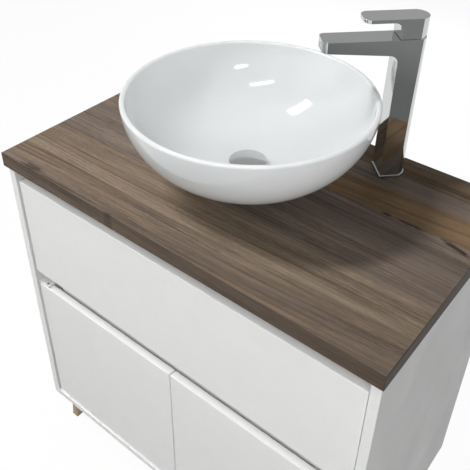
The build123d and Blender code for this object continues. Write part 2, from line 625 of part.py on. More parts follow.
def trap_nuts(flange_under, body_top, stub_end, pipe_hole, spigot_hole):
    """Union nuts at the drain, on top of the trap and on its outlet."""
    thread = DRAIN_TUBE_DIAMETER + 2 * TRAP_FIT
    wide = thread + 2 * TRAP_NUT_WALL
    lip_z = flange_under - TRAP_NUT_LIP
    inlet = grip_ring(lip_z, drain_end + TRAP_NUT_LAP, wide)
    inlet -= upright(0, 0, flange_under, drain_end + TRAP_NUT_LAP, thread)
    inlet -= upright(0, 0, lip_z, flange_under, pipe_hole)
    stub = TRAP_STUB_DIAMETER + 2 * TRAP_FIT
    crown_top = body_top + TRAP_NUT_LAP
    crown = grip_ring(body_top, crown_top, stub + 2 * TRAP_NUT_WALL)
    crown -= upright(0, 0, body_top, crown_top, pipe_hole)
    start = stub_end - TRAP_NUT_LAP
    outlet = grip_ring(0, TRAP_NUT_LAP + TRAP_NUT_LIP, stub + 2 * TRAP_NUT_WALL)
    outlet = Pos(0, start, outlet_z) * Rot(-90, 0, 0) * outlet
    outlet -= along_y(0, start, stub_end, outlet_z, stub)
    outlet -= along_y(0, stub_end, stub_end + TRAP_NUT_LIP, outlet_z, spigot_hole)
    return [inlet, crown, outlet]


def tap_plan(width, ledge=0.0):
    """Plan of the column: straight front and sides, bulging back."""
    half = width / 2 + ledge
    front = tap_front - ledge
    back = TAP_DEPTH / 2 + ledge
    shoulder = back - TAP_BACK_BULGE
    walls = Polyline((shoulder, half), (front, half), (front, -half), (shoulder, -half))
    return make_face([walls, ThreePointArc(walls @ 1, (back, 0), walls @ 0)])


def tap_body():
    """Column and spout in one casting, with the seats for cartridge, aerator, stud and inlets."""
    tip = tap_front - SPOUT_REACH
    root = TAP_BODY_HEIGHT - SPOUT_ROOT_THICKNESS
    column = extrude(Pos(0, 0, tap_foot) * tap_plan(TAP_BASE_WIDTH), TAP_BODY_HEIGHT - tap_foot)
    side = make_face(
        Polyline(
            (0, TAP_BODY_HEIGHT),
            (tip, TAP_BODY_HEIGHT),
            (tip, TAP_BODY_HEIGHT - SPOUT_TIP_THICKNESS),
            (tap_front, root),
            (tap_front, root - 2 * SPOUT_THROAT),
            (0, root - 2 * SPOUT_THROAT),
            close=True,
        )
    )
    side = fillet(side.vertices().sort_by_distance((tap_front, root, 0))[0], SPOUT_THROAT)
    spout = extrude(Plane.XZ * side, TAP_BASE_WIDTH / 2, both=True)
    taper = make_face(
        Polyline(
            (-TAP_BASE_WIDTH / 2, tap_foot),
            (TAP_BASE_WIDTH / 2, tap_foot),
            (TAP_HEAD_WIDTH / 2, TAP_BODY_HEIGHT),
            (-TAP_HEAD_WIDTH / 2, TAP_BODY_HEIGHT),
            close=True,
        )
    )
    body = (column + spout) & extrude(Plane.YZ * taper, SPOUT_REACH + 2 * TAP_DEPTH, both=True)
    tip_face = body.faces().sort_by(Axis.X)[0]
    body = fillet(tip_face.edges().sort_by(SortBy.LENGTH)[:2], SPOUT_CORNER)
    body -= upright(0, 0, cartridge_base, TAP_BODY_HEIGHT, CARTRIDGE_DIAMETER + 2 * CARTRIDGE_FIT)
    body -= upright(aerator_x, 0, aerator_z, aerator_z + AERATOR_LENGTH, AERATOR_DIAMETER + 2 * TAP_FIT)
    body -= upright(TAP_STUD_OFFSET, 0, tap_foot, stud_top, TAP_STUD_DIAMETER + 2 * TAP_FIT)
    for y in (-INLET_SPREAD / 2, INLET_SPREAD / 2):
        body -= upright(-INLET_OFFSET, y, tap_foot, tap_foot + INLET_DEPTH, INLET_DIAMETER)
    nodes["tap_body"] = tap_place * body


def tap_trim():
    """Base ring, gasket and aerator of the tap."""
    ring_plan = Pos(0, 0, TAP_GASKET_THICKNESS) * tap_plan(TAP_BASE_WIDTH, TAP_BASE_LEDGE)
    base = extrude(ring_plan, TAP_BASE_THICKNESS)
    gasket = extrude(tap_plan(TAP_BASE_WIDTH), TAP_GASKET_THICKNESS)
    passage = upright(0, 0, 0, tap_foot, TAP_PASSAGE_DIAMETER)
    nodes["tap_base"] = tap_place * (base - passage)
    nodes["tap_gasket"] = tap_place * (gasket - passage)
    aerator_top = aerator_z + AERATOR_LENGTH
    aerator = upright(aerator_x, 0, aerator_z, aerator_top, AERATOR_DIAMETER)
    aerator -= upright(aerator_x, 0, aerator_z, aerator_top - AERATOR_PROUD, AERATOR_BORE)
    nodes["aerator"] = tap_place * aerator


def tap_cartridge():
    """Cartridge and its nut in the column's head, and the spindle with its lug and cross pin."""
    cartridge = upright(0, 0, cartridge_base, cartridge_top, CARTRIDGE_DIAMETER)
    nodes["tap_cartridge"] = tap_place * cartridge
    nut = upright(0, 0, cartridge_top, nut_top, CARTRIDGE_DIAMETER)
    nut -= upright(0, 0, cartridge_top, nut_top, SPINDLE_DIAMETER + 2 * SPINDLE_FIT)
    nodes["cartridge_nut"] = tap_place * nut
    half = LUG_WIDTH / 2
    spindle = upright(0, 0, cartridge_top + RUNNING_GAP, lever_base, SPINDLE_DIAMETER)
    spindle += across(LUG_OFFSET, lug_z, LUG_WIDTH, LUG_DIAMETER)
    spindle += block(LUG_OFFSET - LUG_DIAMETER / 2, LUG_OFFSET, -half, half, nut_top, lug_z)
    spindle -= across(LUG_OFFSET, lug_z, LUG_WIDTH, LEVER_PIN_DIAMETER)
    nodes["lever_spindle"] = tap_place * spindle
    nodes["lever_pin"] = tap_place * across(LUG_OFFSET, lug_z, LEVER_PIN_LENGTH, LEVER_PIN_DIAMETER)


def across(x, z, length, diameter):
    """Round rod along Y, centred on the tap's middle plane."""
    return along_y(x, -length / 2, length / 2, z, diameter)


def tap_lever():
    """Lever: flat plate over the spout, with a block that sits on the column and a sloping heel."""
    tip = tap_front - LEVER_REACH
    back = TAP_DEPTH / 2
    shoulder = back - TAP_BACK_BULGE
    top = TAP_BODY_HEIGHT + LEVER_RISE
    under = top - LEVER_THICKNESS
    half = LEVER_WIDTH / 2
    heel = lever_base + (back - LEVER_HEEL) * tan(radians(LEVER_LIFT))
    side = make_face(
        Polyline(
            (tip, top),
            (tip, under),
            (tap_front, under),
            (tap_front, lever_base),
            (LEVER_HEEL, lever_base),
            (back, heel),
            (back, top),
            close=True,
        )
    )
    side = fillet(side.vertices().sort_by_distance((tap_front, under, 0))[0], LEVER_THROAT)
    walls = Polyline((shoulder, half), (tip, half), (tip, -half), (shoulder, -half))
    plan = make_face([walls, ThreePointArc(walls @ 1, (back, 0), walls @ 0)])
    plan = fillet(plan.vertices().group_by(Axis.X)[0], LEVER_CORNER)
    lever = extrude(Plane.XZ * side, LEVER_WIDTH, both=True)
    lever &= extrude(Pos(0, 0, TAP_BODY_HEIGHT) * plan, LEVER_RISE)
    pocket = POCKET_WIDTH / 2
    pocket_top = lever_base + POCKET_HEIGHT
    lever -= block(-POCKET_FRONT, POCKET_BACK, -pocket, pocket, TAP_BODY_HEIGHT, pocket_top)
    hole = LEVER_PIN_LENGTH + 2 * RUNNING_GAP
    lever -= across(LUG_OFFSET, lug_z, hole, LEVER_PIN_DIAMETER + 2 * LEVER_PIN_FIT)
    nodes["lever"] = tap_place * lever


def tap_fixing():
    """Stud, horseshoe washer and nut that hold the tap from under the worktop."""
    under = -TOP_THICKNESS
    shoe_z = under - SHOE_THICKNESS
    nut_z = shoe_z - TAP_NUT_HEIGHT
    end = under - TAP_STUD_DROP
    stud_hole = upright(TAP_STUD_OFFSET, 0, nut_z, under, TAP_STUD_DIAMETER + 2 * TAP_FIT)
    shoe = upright(0, 0, shoe_z, under, SHOE_DIAMETER)
    slot_end = TAP_STUD_OFFSET - TAP_STUD_DIAMETER
    shoe -= block(-SHOE_DIAMETER, slot_end, -SHOE_SLOT / 2, SHOE_SLOT / 2, shoe_z, under)
    nodes["tap_stud"] = tap_place * upright(TAP_STUD_OFFSET, 0, end, stud_top, TAP_STUD_DIAMETER)
    nodes["tap_washer"] = tap_place * (shoe - stud_hole)
    nut = hexagon(TAP_STUD_OFFSET, 0, nut_z, shoe_z, TAP_NUT_WIDTH)
    nodes["tap_nut"] = tap_place * (nut - stud_hole)


side_panel = shelf(carcass())
nodes["side_panel_right"] = side_panel
nodes["side_panel_left"] = mirror(side_panel, Plane.YZ)
legs()
worktop()
doors()
drawer()
basin()
drain()
trap()
tap_body()
tap_trim()
tap_cartridge()
tap_lever()
tap_fixing()

os.makedirs("parts", exist_ok=True)
for name, solid in nodes.items():
    export_step(solid, f"parts/{name}.step")
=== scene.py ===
"""Finished look of a bathroom vanity with a wooden worktop, a round vessel basin and a tall tap.

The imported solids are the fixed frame. Each operator finishes one group of pieces on it.
Metres. X runs to the right, Y to the wall, Z up from the floor.
"""

import json
import math

import bmesh
import bpy
from bpy.props import FloatProperty, FloatVectorProperty, IntProperty, PointerProperty
from mathutils import Matrix, Vector


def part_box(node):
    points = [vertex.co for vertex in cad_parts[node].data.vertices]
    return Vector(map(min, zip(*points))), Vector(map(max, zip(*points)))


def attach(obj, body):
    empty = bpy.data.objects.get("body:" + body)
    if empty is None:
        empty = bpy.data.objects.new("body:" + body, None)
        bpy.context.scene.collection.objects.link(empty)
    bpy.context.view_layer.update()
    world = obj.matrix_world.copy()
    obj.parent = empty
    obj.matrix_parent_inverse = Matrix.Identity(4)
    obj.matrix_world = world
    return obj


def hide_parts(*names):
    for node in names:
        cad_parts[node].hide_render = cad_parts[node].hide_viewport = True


bl_info = {
    "name": "Vessel sink on vanity",
    "version": (1, 0, 0),
    "blender": (4, 5, 0),
    "location": "View3D > Sidebar > Vanity",
    "description": "Finishes the boards, worktop, basin, tap and fittings of a bathroom vanity",
    "category": "Add Mesh",
}

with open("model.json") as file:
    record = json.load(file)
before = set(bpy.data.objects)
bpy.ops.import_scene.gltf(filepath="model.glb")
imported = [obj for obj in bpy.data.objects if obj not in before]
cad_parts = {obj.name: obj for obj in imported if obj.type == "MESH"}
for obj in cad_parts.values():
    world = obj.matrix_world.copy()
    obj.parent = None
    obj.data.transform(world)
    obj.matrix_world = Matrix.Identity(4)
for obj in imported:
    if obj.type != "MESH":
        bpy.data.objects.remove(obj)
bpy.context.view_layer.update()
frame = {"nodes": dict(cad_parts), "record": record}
RECORD = frame["record"]
BODY_OF = {node: body for body, held in RECORD["behaviour"]["bodies"].items() for node in held}
SLOT_OF = {part["node"]: part["material_slot"] for part in RECORD["subparts"]}

MERGE_DISTANCE = 1e-6
FLAT_ANGLE = math.radians(0.5)
SHARP_ANGLE = math.radians(32)
ROUND_STEPS = 3
AXIS_GAP = 1e-5  # radius of the circle that a turned profile follows
BAND_THICKNESS = 0.0004  # edge bands of the worktop
END_BAND_STAVE = 0.5  # place in the depth that gives the end bands their tone
RIM_RUN = 0.006  # depth under a rim at which the curve of a bowl begins
BOWL_STEPS = 48
CAP_STEPS = 14
FRONTS = ("drawer_front", "door_left", "door_right")  # boards with banded edges
BROAD_FACE = 0.5  # least part along Y of the normal of a front's broad face
BOARD_SHORTEST = 8  # shortest edge that is rounded on a board, in roundings
WORKTOP_SHORTEST = 0.1  # shortest edges that are rounded on the other pieces
LEG_SHORTEST = 0.01
DRAIN_SHORTEST = 0.008
CHANNEL_DROP = 10  # drop of the channel's crest under the rail's top, in wall thicknesses
AERATOR_ROWS = 4  # rows of cells on each side of the middle row
CELL_SIDES = 6
CELL_WALL = 0.15  # wall of the aerator's cells, as a share of their distance
SCREW_SIDES = 20
SCREW_CROWN = 0.36  # radius of a screw head's flat top, as a share of its diameter
SCREW_SLOT = 0.12  # width of its slots, as a share of its diameter
SCREW_SLOT_LIFT = 0.9  # middle of its slots, as a share of its height

WEAR_AND_HIGHLIGHT_SPOTS = 45.0  # lighter spots per metre of an edge: wear and a painted highlight
WEAR_AND_HIGHLIGHT_FADE = (0.35, 0.65, 0.35, 1.0)  # range of the spots' noise, and the share of wear and painted highlight that it gives
STAVE_SHIFT = 23.0  # metres over which the staves' pieces of grain lie apart
LEAN_TURNS = 2.6  # spreads the staves over the range of leans
MOST_LEAN = 0.05  # slope of the grain in a stave
STREAK_WARMTH = 0.45  # gold in the warm streaks of the worktop
SIDE_BAND_DARKNESS = 0.52  # knot colour in the edge bands at the front and the back
END_BAND_DARKNESS = 0.85  # knot colour in the edge bands at the ends
KNOT_FADE = (0.2, 1.5)  # squared distances from a knot's middle between which it fades
KNOT_GRAIN = (70, 260, 260)  # density of a knot's ragged edge along and across the worktop
KNOT_RAGGED = (0.3, 0.7, -0.7, 0.7)  # range of that noise, and distance that it adds
WALNUT_WEAR_AND_HIGHLIGHT = 0.15  # lighter tone on the rounded edges: wear spots and a painted highlight
WALNUT_SHINE = 0.06  # level of the plain reflection
WALNUT_ROUGHNESS = (0.54, 0.42)  # between and on the fine lines
WALNUT_RELIEF = 5e-5
OAK_LINES = (0.78, 1.06)  # shade between and on the fine lines
OAK_PORES = 0.45  # darker tone in the pores
# Lighter tone on the legs' rounded edges: wear spots and a painted highlight
OAK_WEAR_AND_HIGHLIGHT = 0.4
OAK_ROUGHNESS = (0.55, 0.42)
OAK_RELIEF = 8e-5
RAW_RING = (0.0012, 0.0022)  # heights above the foot between which the glaze begins
RAW_ROUGHNESS = 0.8
GLAZE_MOTTLE = 0.025  # share by which the smudges are darker
GLAZE_ROUGHNESS = (0.05, 0.10)
GLAZE_RELIEF = 6e-5

# Shades of the worktop's grain: mark, factor without it and factor where it is full
WALNUT_SHADES = (
    ("Figure", 0.74, 1.24),
    ("Lines", 0.70, 1.22),
    ("Pores", 1.0, 0.72),
    ("Flecks", 0.97, 1.22),
)

# Staves of the worktop from front to back: front edge as a share of the depth, tone
STAVES = (
    (0.0, "grey"),
    (0.1245, "tan"),
    (0.3026, "mauve"),
    (0.6288, "gold"),
    (0.768, "mauve"),
    (0.871, "dark"),
    (0.968, "tan"),
)
# Knots and cracks of the worktop: place along and across it, half length, half width, slope, depth
KNOTS = (
    (-0.316, -0.2250, 0.026, 0.0065, 0.05, 0.70),
    (-0.112, -0.2330, 0.009, 0.0030, 0.0, 0.55),
    (-0.210, -0.2290, 0.070, 0.0030, 0.02, 0.40),
    (-0.020, -0.1890, 0.110, 0.0016, 0.02, 0.40),
    (0.180, -0.1370, 0.210, 0.0011, 0.04, 0.55),
    (0.242, 0.0600, 0.008, 0.0040, 0.0, 0.85),
    (0.286, 0.0590, 0.030, 0.0034, 0.0, 0.75),
    (0.364, 0.0520, 0.028, 0.0048, -0.25, 0.90),
    (0.300, 0.1860, 0.090, 0.0022, 0.0, 0.50),
    (-0.345, 0.0200, 0.040, 0.0012, 0.03, 0.50),
)


def colour(name, description, value):
    """Colour property of a finish."""
    return FloatVectorProperty(
        name=name, description=description, default=value, subtype="COLOR", min=0, max=1
    )


def length(name, description, value):
    """Length property of a piece, in metres."""
    return FloatProperty(
        name=name, description=description, default=value, min=0, unit="LENGTH", precision=4
    )


class VanityColours(bpy.types.PropertyGroup):
    """Colours of the finishes."""

    board: colour("Board", "White foil of the boards", (0.80, 0.80, 0.79))
    # Lighter than the boards: the edge bands' own white and a painted highlight on the edges
    board_edge: colour("Board edge", "Bands on the edges of the boards", (0.91, 0.91, 0.905))
    walnut_grey: colour("Grey walnut", "Front stave of the worktop", (0.158, 0.122, 0.095))
    walnut_tan: colour("Tan walnut", "Lighter staves of the worktop", (0.187, 0.145, 0.107))
    walnut_mauve: colour("Mauve walnut", "Wide staves of the worktop", (0.172, 0.136, 0.112))
    walnut_gold: colour("Golden walnut", "Warm stave of the worktop", (0.226, 0.148, 0.087))
    walnut_dark: colour("Dark walnut", "Dark stave at the back", (0.142, 0.098, 0.066))
    walnut_knot: colour("Knot", "Knots and cracks of the worktop", (0.030, 0.021, 0.015))
    oak_light: colour("Light oak", "Early wood of the legs", (0.50, 0.355, 0.205))
    oak_dark: colour("Dark oak", "Late wood of the legs", (0.33, 0.215, 0.115))
    beech: colour("Beech", "Dowels", (0.62, 0.46, 0.29))
    glaze: colour("Glaze", "Glazed ceramic of the basin", (0.752, 0.770, 0.775))
    biscuit: colour("Biscuit", "Unglazed ring under the basin", (0.68, 0.65, 0.60))
    chrome: colour("Chrome", "Tap, lever and drain", (0.595, 0.62, 0.612))
    satin: colour("Satin chrome", "Cap of the drain", (0.68, 0.69, 0.685))
    steel: colour("Zinc plate", "Brackets, runners and plates", (0.56, 0.57, 0.58))
    pin: colour("Ground steel", "Hinge pins", (0.50, 0.50, 0.52))
    brass: colour("Brass", "Nuts and studs of the fittings", (0.72, 0.54, 0.26))
    nylon: colour("Nylon", "Bushes, glides and pins", (0.76, 0.76, 0.73))
    plastic: colour("White plastic", "Trap and its pipe", (0.78, 0.78, 0.77))
    cartridge: colour("Dark plastic", "Cartridge of the tap", (0.045, 0.045, 0.05))
    rubber: colour("Rubber", "Seals and gaskets", (0.028, 0.028, 0.030))


class VanitySizes(bpy.types.PropertyGroup):
    """Sizes of the finish on the pieces."""

    board_round: length("Board rounding", "Round on the edges of the boards", 0.0014)
    worktop_round: length("Worktop rounding", "Round on the edges of the worktop", 0.0010)
    leg_round: length("Leg rounding", "Round on the edges of the legs", 0.0012)
    tap_round: length("Tap rounding", "Round on the edges of tap and lever", 0.0009)
    metal_round: length("Metal rounding", "Round on the edges of brackets", 0.0004)
    basin_rim: length("Basin rim", "Width of the basin's rim", 0.009)
    basin_floor: length("Basin floor", "Height of the bowl's lowest point above the foot", 0.017)
    belly_lift: length("Belly lift", "Lowest point of the outer curve above the foot", 0.004)
    rim_round: length("Rim rounding", "Round on the rim of the basin", 0.0044)
    foot_radius: length("Foot radius", "Radius of the basin's foot", 0.062)
    foot_flare: length("Foot flare", "Slope of the foot's side", 0.002)
    foot_ring: length("Foot ring", "Width of the ring that the basin stands on", 0.012)
    foot_recess: length("Foot recess", "Hollow under the basin inside its foot ring", 0.004)
    seat_radius: length("Drain seat", "Radius of the drain's seat in the bowl", 0.034)
    seat_depth: length("Seat depth", "Depth of the drain's seat", 0.0025)
    drain_radius: length("Drain hole", "Radius of the drain's hole", 0.023)
    cap_edge: length("Cap edge", "Height of the drain cap's straight edge", 0.002)
    small_round: length("Small rounding", "Round on the edges of turned pieces", 0.0006)
    leg_plate: length("Leg plate", "Side of the square plates above the legs", 0.056)
    leg_plate_thickness: length("Plate thickness", "Thickness of the leg plates", 0.0025)
    leg_screw_inset: length("Leg screw inset", "Screws' distance from a plate's sides", 0.0065)
    hinge_leaf: length("Hinge leaf", "Thickness of the hinges' leaves", 0.0025)
    hinge_height: length("Hinge height", "Height of the hinges' leaves", 0.030)
    hinge_screw_inset: length("Hinge screw inset", "Screws' distance from a leaf's back", 0.010)
    hinge_screw_spread: length("Hinge screw spread", "Half the screws' distance", 0.008)
    channel_wall: length("Channel wall", "Thickness of the channel behind the gap", 0.0012)
    channel_gap: length("Channel gap", "Air between the doors and the channel", 0.006)
    channel_short: length("Channel short", "Room for the hinges at the channel's ends", 0.050)
    screw_head: length("Screw head", "Diameter of the screw heads", 0.0068)
    screw_height: length("Screw height", "Height of the screw heads", 0.0013)
    cell_pitch: length("Aerator cell", "Distance between the aerator's cells", 0.0016)
    cell_depth: length("Cell depth", "Depth of the aerator's cells", 0.0012)
    basin_steps: IntProperty(
        name="Basin steps", description="Facets round the basin", default=192, min=24, max=400
    )
    cap_steps: IntProperty(
        name="Cap steps", description="Facets round the drain cap", default=96, min=24, max=200
    )


def place(tree, kind, inputs=None, **settings):
    """Adds a node, makes its settings, and sets or links its inputs."""
    node = tree.nodes.new(kind)
    for name, value in settings.items():
        setattr(node, name, value)
    for key, value in (inputs or {}).items():
        if isinstance(value, bpy.types.NodeSocket):
            tree.links.new(value, node.inputs[key])
        else:
            node.inputs[key].default_value = value
    return node


def out(tree, kind, inputs, **settings):
    """Adds a node and gives its first output."""
    return place(tree, kind, inputs, **settings).outputs[0]


def parts(tree, position):
    """X, Y and Z of a position."""
    return place(tree, "ShaderNodeSeparateXYZ", {0: position}).outputs


def joined(tree, **axes):
    """Position from X, Y and Z."""
    return out(tree, "ShaderNodeCombineXYZ", axes)


def reckon(tree, operation, *values):
    """Math node on numbers and sockets."""
    return out(tree, "ShaderNodeMath", dict(enumerate(values)), operation=operation)


def times(tree, first, second):
    """Product of two numbers or sockets."""
    return reckon(tree, "MULTIPLY", first, second)


def ranged(tree, value, low, high, to_low=0.0, to_high=1.0):
    """Carries a value from one range over to another, clamped."""
    keys = {"Value": value, "From Min": low, "From Max": high, "To Min": to_low, "To Max": to_high}
    return place(tree, "ShaderNodeMapRange", keys).outputs["Result"]


def mixed(tree, share, first, second, blend="MIX"):
    """Mix of two colours."""
    keys = {0: share, 6: opaque(first), 7: opaque(second)}
    return place(tree, "ShaderNodeMix", keys, data_type="RGBA", blend_type=blend).outputs[2]


def chosen(tree, share, first, second):
    """Mix of two values."""
    return out(tree, "ShaderNodeMix", {0: share, 2: first, 3: second})


def opaque(value):
    """Colour property as a four-part socket value. A socket stays as it is."""
    return value if isinstance(value, bpy.types.NodeSocket) else (*value, 1.0)


def noise(tree, position, scale, detail=3.0, roughness=0.5, distortion=0.0):
    """Noise value at a position."""
    keys = {"Vector": position, "Scale": scale, "Detail": detail}
    keys |= {"Roughness": roughness, "Distortion": distortion}
    return place(tree, "ShaderNodeTexNoise", keys).outputs["Fac"]


def stretched(tree, position, scale):
    """Position with its axes scaled."""
    return out(tree, "ShaderNodeMapping", {"Vector": position, "Scale": scale})


def stepped(tree, factor, stops):
    """Colour ramp in steps, with the given stops of place and colour."""
    node = place(tree, "ShaderNodeValToRGB", {"Fac": factor})
    band = node.color_ramp
    band.interpolation = "CONSTANT"
    band.elements.remove(band.elements[1])
    for index, (spot, value) in enumerate(stops):
        stop = band.elements.new(spot) if index else band.elements[0]
        stop.position = spot
        stop.color = opaque(value)
    return node.outputs["Color"]


def add_sockets(group, way, sockets):
    """Adds named sockets, each given by its kind or by the number that it holds at first."""
    for label, held in sockets.items():
        kind = held if isinstance(held, str) else type(held).__name__.title()
        made = group.interface.new_socket(label, in_out=way, socket_type="NodeSocket" + kind)
        if kind != held:
            made.default_value = held


def node_group(name, kind, inputs, outputs):
    """Empty node group with named sockets."""
    group = bpy.data.node_groups.new(name, kind)
    add_sockets(group, "INPUT", inputs)
    add_sockets(group, "OUTPUT", outputs)
    return group, group.nodes.new("NodeGroupInput").outputs


def shared(make):
    """Node group that a function builds once, when it is first asked for."""
    name = make.__name__.replace("_", " ").capitalize()
    return bpy.data.node_groups.get(name) or make(name)


def surface_marks(name):
    """Soft smudges and a fine grain, for roughness and relief."""
    inputs = {"Position": "Vector", "Smudges per metre": 14.0, "Grains per metre": 1200.0}
    outputs = {"Smudge": "Float", "Grain": "Float"}
    group, source = node_group(name, "ShaderNodeTree", inputs, outputs)
    position, smudges = source["Position"], source["Smudges per metre"]
    soft = noise(group, position, smudges, detail=4.0, roughness=0.6, distortion=0.4)
    fine = noise(group, position, source["Grains per metre"], detail=2.0)
    place(group, "NodeGroupOutput", {"Smudge": ranged(group, soft, 0.32, 0.68), "Grain": fine})
    return group


def wood_grain(name):
    """Grain of wood that runs along X: broad figure, warm streaks, fine lines, pores and flecks."""
    inputs = {"Position": "Vector", "Figure": 1.0, "Fineness": 1.0, "Wander": 0.02}
    outputs = dict.fromkeys(("Figure", "Streaks", "Lines", "Pores", "Flecks"), "Float")
    group, source = node_group(name, "ShaderNodeTree", inputs, outputs)

    def layer(position, along, across, scale, detail, roughness=0.5, distortion=0.0):
        """Noise with its own density along and across the grain, per metre."""
        drawn = stretched(group, position, (along, across, across))
        return noise(group, drawn, scale, detail, roughness, distortion)

    drift = ranged(group, layer(source["Position"], 1.1, 6, 1.0, 1), 0, 1, -1, 1)
    drift = times(group, drift, source["Wander"])
    keys = {0: source["Position"], 1: joined(group, Y=drift, Z=drift)}
    position = out(group, "ShaderNodeVectorMath", keys, operation="ADD")
    broad = layer(position, 1.5, 34, source["Figure"], 3, 0.5, 0.5)
    warm = layer(position, 0.9, 62, source["Figure"], 4, 0.6)
    fine = layer(position, 3.5, 260, source["Fineness"], 5, 0.75)
    pores = layer(position, 42, 900, source["Fineness"], 2)
    flecks = layer(position, 75, 520, source["Fineness"], 2, 0.6)
    patch = ranged(group, layer(position, 5, 22, 1.0, 2), 0.35, 0.65)
    lines = ranged(group, fine, 0.40, 0.60, -0.5, 0.5)
    lines = times(group, lines, ranged(group, patch, 0, 1, 0.45, 1.15))
    keys = {
        "Figure": ranged(group, broad, 0.33, 0.67),
        "Streaks": ranged(group, warm, 0.52, 0.72),
        "Lines": reckon(group, "ADD", lines, 0.5),
        "Pores": ranged(group, pores, 0.58, 0.68),
        "Flecks": times(group, ranged(group, flecks, 0.52, 0.66), patch),
    }
    place(group, "NodeGroupOutput", keys)
    return group


def edge_wear(name):
    """Uneven lighter tone on the rounded edges of a dressed piece: wear spots and a painted
    highlight.
    """
    group, source = node_group(name, "ShaderNodeTree", {"Position": "Vector"}, {"Wear": "Float"})
    edge = place(group, "ShaderNodeAttribute", attribute_name="edge").outputs["Fac"]
    spots = ranged(group, noise(group, source["Position"], WEAR_AND_HIGHLIGHT_SPOTS), *WEAR_AND_HIGHLIGHT_FADE)
    place(group, "NodeGroupOutput", {"Wear": times(group, edge, spots)})
    return group


def in_group(tree, make, position, values=None):
    """Places a shared group in a material and gives its outputs."""
    keys = {"Position": position, **(values or {})}
    return place(tree, "ShaderNodeGroup", keys, node_tree=shared(make)).outputs


def cleared(owner):
    """Empty node tree of a material or of the surroundings."""
    owner.use_nodes = True
    owner.node_tree.nodes.clear()
    return owner.node_tree


def new_material(name, metallic=0.0):
    """Material with a single shader, and the position on the piece."""
    material = bpy.data.materials.new(name)
    tree = cleared(material)
    shader = place(tree, "ShaderNodeBsdfPrincipled", {"Metallic": metallic})
    place(tree, "ShaderNodeOutputMaterial", {"Surface": shader.outputs[0]})
    position = place(tree, "ShaderNodeTexCoord").outputs["Object"]
    return material, tree, shader.inputs, position


def feed(tree, shader, tint, rough, height, depth):
    """Gives a shader its colour, its roughness and a fine relief of a depth in metres."""
    keys = {"Height": height, "Distance": depth, "Strength": 1.0}
    tree.links.new(tint, shader["Base Color"])
    tree.links.new(rough, shader["Roughness"])
    tree.links.new(out(tree, "ShaderNodeBump", keys), shader["Normal"])


def finish(name, base, rough, metallic=0.0, mottle=0.06, grains=1200.0, depth=2e-5, edge=None):
    """Plain finish with mottled colour, uneven gloss, fine relief and, if given, lighter edge bands
    and rounded edges, which are partly a painted highlight.
    """
    material, tree, shader, position = new_material(name, metallic)
    marks = in_group(tree, surface_marks, position, {"Grains per metre": grains})
    darker = [part * (1 - mottle) for part in base]
    tint = mixed(tree, marks["Smudge"], darker, base)
    # Edge bands and spots on the rounded edges take the lighter edge colour, partly a painted
    # highlight
    if edge:
        band = place(tree, "ShaderNodeAttribute", attribute_name="band").outputs["Fac"]
        wear_and_highlight = in_group(tree, edge_wear, position)["Wear"]
        tint = mixed(tree, reckon(tree, "MAXIMUM", band, wear_and_highlight), tint, edge)
    gloss = ranged(tree, marks["Smudge"], 0, 1, *rough)
    feed(tree, shader, tint, gloss, marks["Grain"], depth)
    return material


def band_mask(tree, across, reach):
    """One on the worktop's edge bands at both ends of an axis, none between them."""
    away = reckon(tree, "ABSOLUTE", across)
    return reckon(tree, "GREATER_THAN", away, reach - BAND_THICKNESS)


def walnut_finish(colours):
    """Worktop of glued staves, with the grain along X and along the edge bands at its ends."""
    material, tree, shader, position = new_material("worktop walnut")
    low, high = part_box("worktop")
    spot = parts(tree, position)
    ends = band_mask(tree, spot["X"], high[0])
    sides = band_mask(tree, spot["Y"], high[1])
    depth = chosen(tree, ends, ranged(tree, spot["Y"], low[1], high[1]), END_BAND_STAVE)
    count = len(STAVES)
    numbers = [(start, [index / count] * 3) for index, (start, tone) in enumerate(STAVES)]
    number = stepped(tree, depth, numbers)
    along = chosen(tree, ends, spot["X"], spot["Y"])
    across = chosen(tree, ends, spot["Y"], spot["X"])
    lean = reckon(tree, "FRACT", times(tree, number, LEAN_TURNS))
    lean = ranged(tree, lean, 0, 1, -MOST_LEAN, MOST_LEAN)
    along_grain = reckon(tree, "ADD", along, times(tree, number, STAVE_SHIFT))
    across_grain = reckon(tree, "ADD", across, times(tree, along, lean))
    grain = in_group(tree, wood_grain, joined(tree, X=along_grain, Y=across_grain, Z=spot["Z"]))
    tones = [(start, getattr(colours, "walnut_" + tone)) for start, tone in STAVES]
    wood = stepped(tree, depth, tones)
    wood = mixed(tree, times(tree, grain["Streaks"], STREAK_WARMTH), wood, colours.walnut_gold)
    shade = 1.0
    for mark, without, full in WALNUT_SHADES:
        shade = times(tree, shade, ranged(tree, grain[mark], 0, 1, without, full))
    wood = mixed(tree, 1.0, wood, shade, "MULTIPLY")
    wear_and_highlight = in_group(tree, edge_wear, position)["Wear"]
    for mask, weight, tint in (
        (knots(tree, spot, position), 1.0, colours.walnut_knot),
        (sides, SIDE_BAND_DARKNESS, colours.walnut_knot),
        (ends, END_BAND_DARKNESS, colours.walnut_knot),
        # Rounded edges lighter in spots: wear and a painted highlight
        (wear_and_highlight, WALNUT_WEAR_AND_HIGHLIGHT, colours.walnut_tan),
    ):
        wood = mixed(tree, times(tree, mask, weight), wood, tint)
    shader["Specular IOR Level"].default_value = WALNUT_SHINE
    rough = ranged(tree, grain["Lines"], 0, 1, *WALNUT_ROUGHNESS)
    height = reckon(tree, "SUBTRACT", grain["Lines"], grain["Pores"])
    feed(tree, shader, wood, rough, height, WALNUT_RELIEF)
    return material


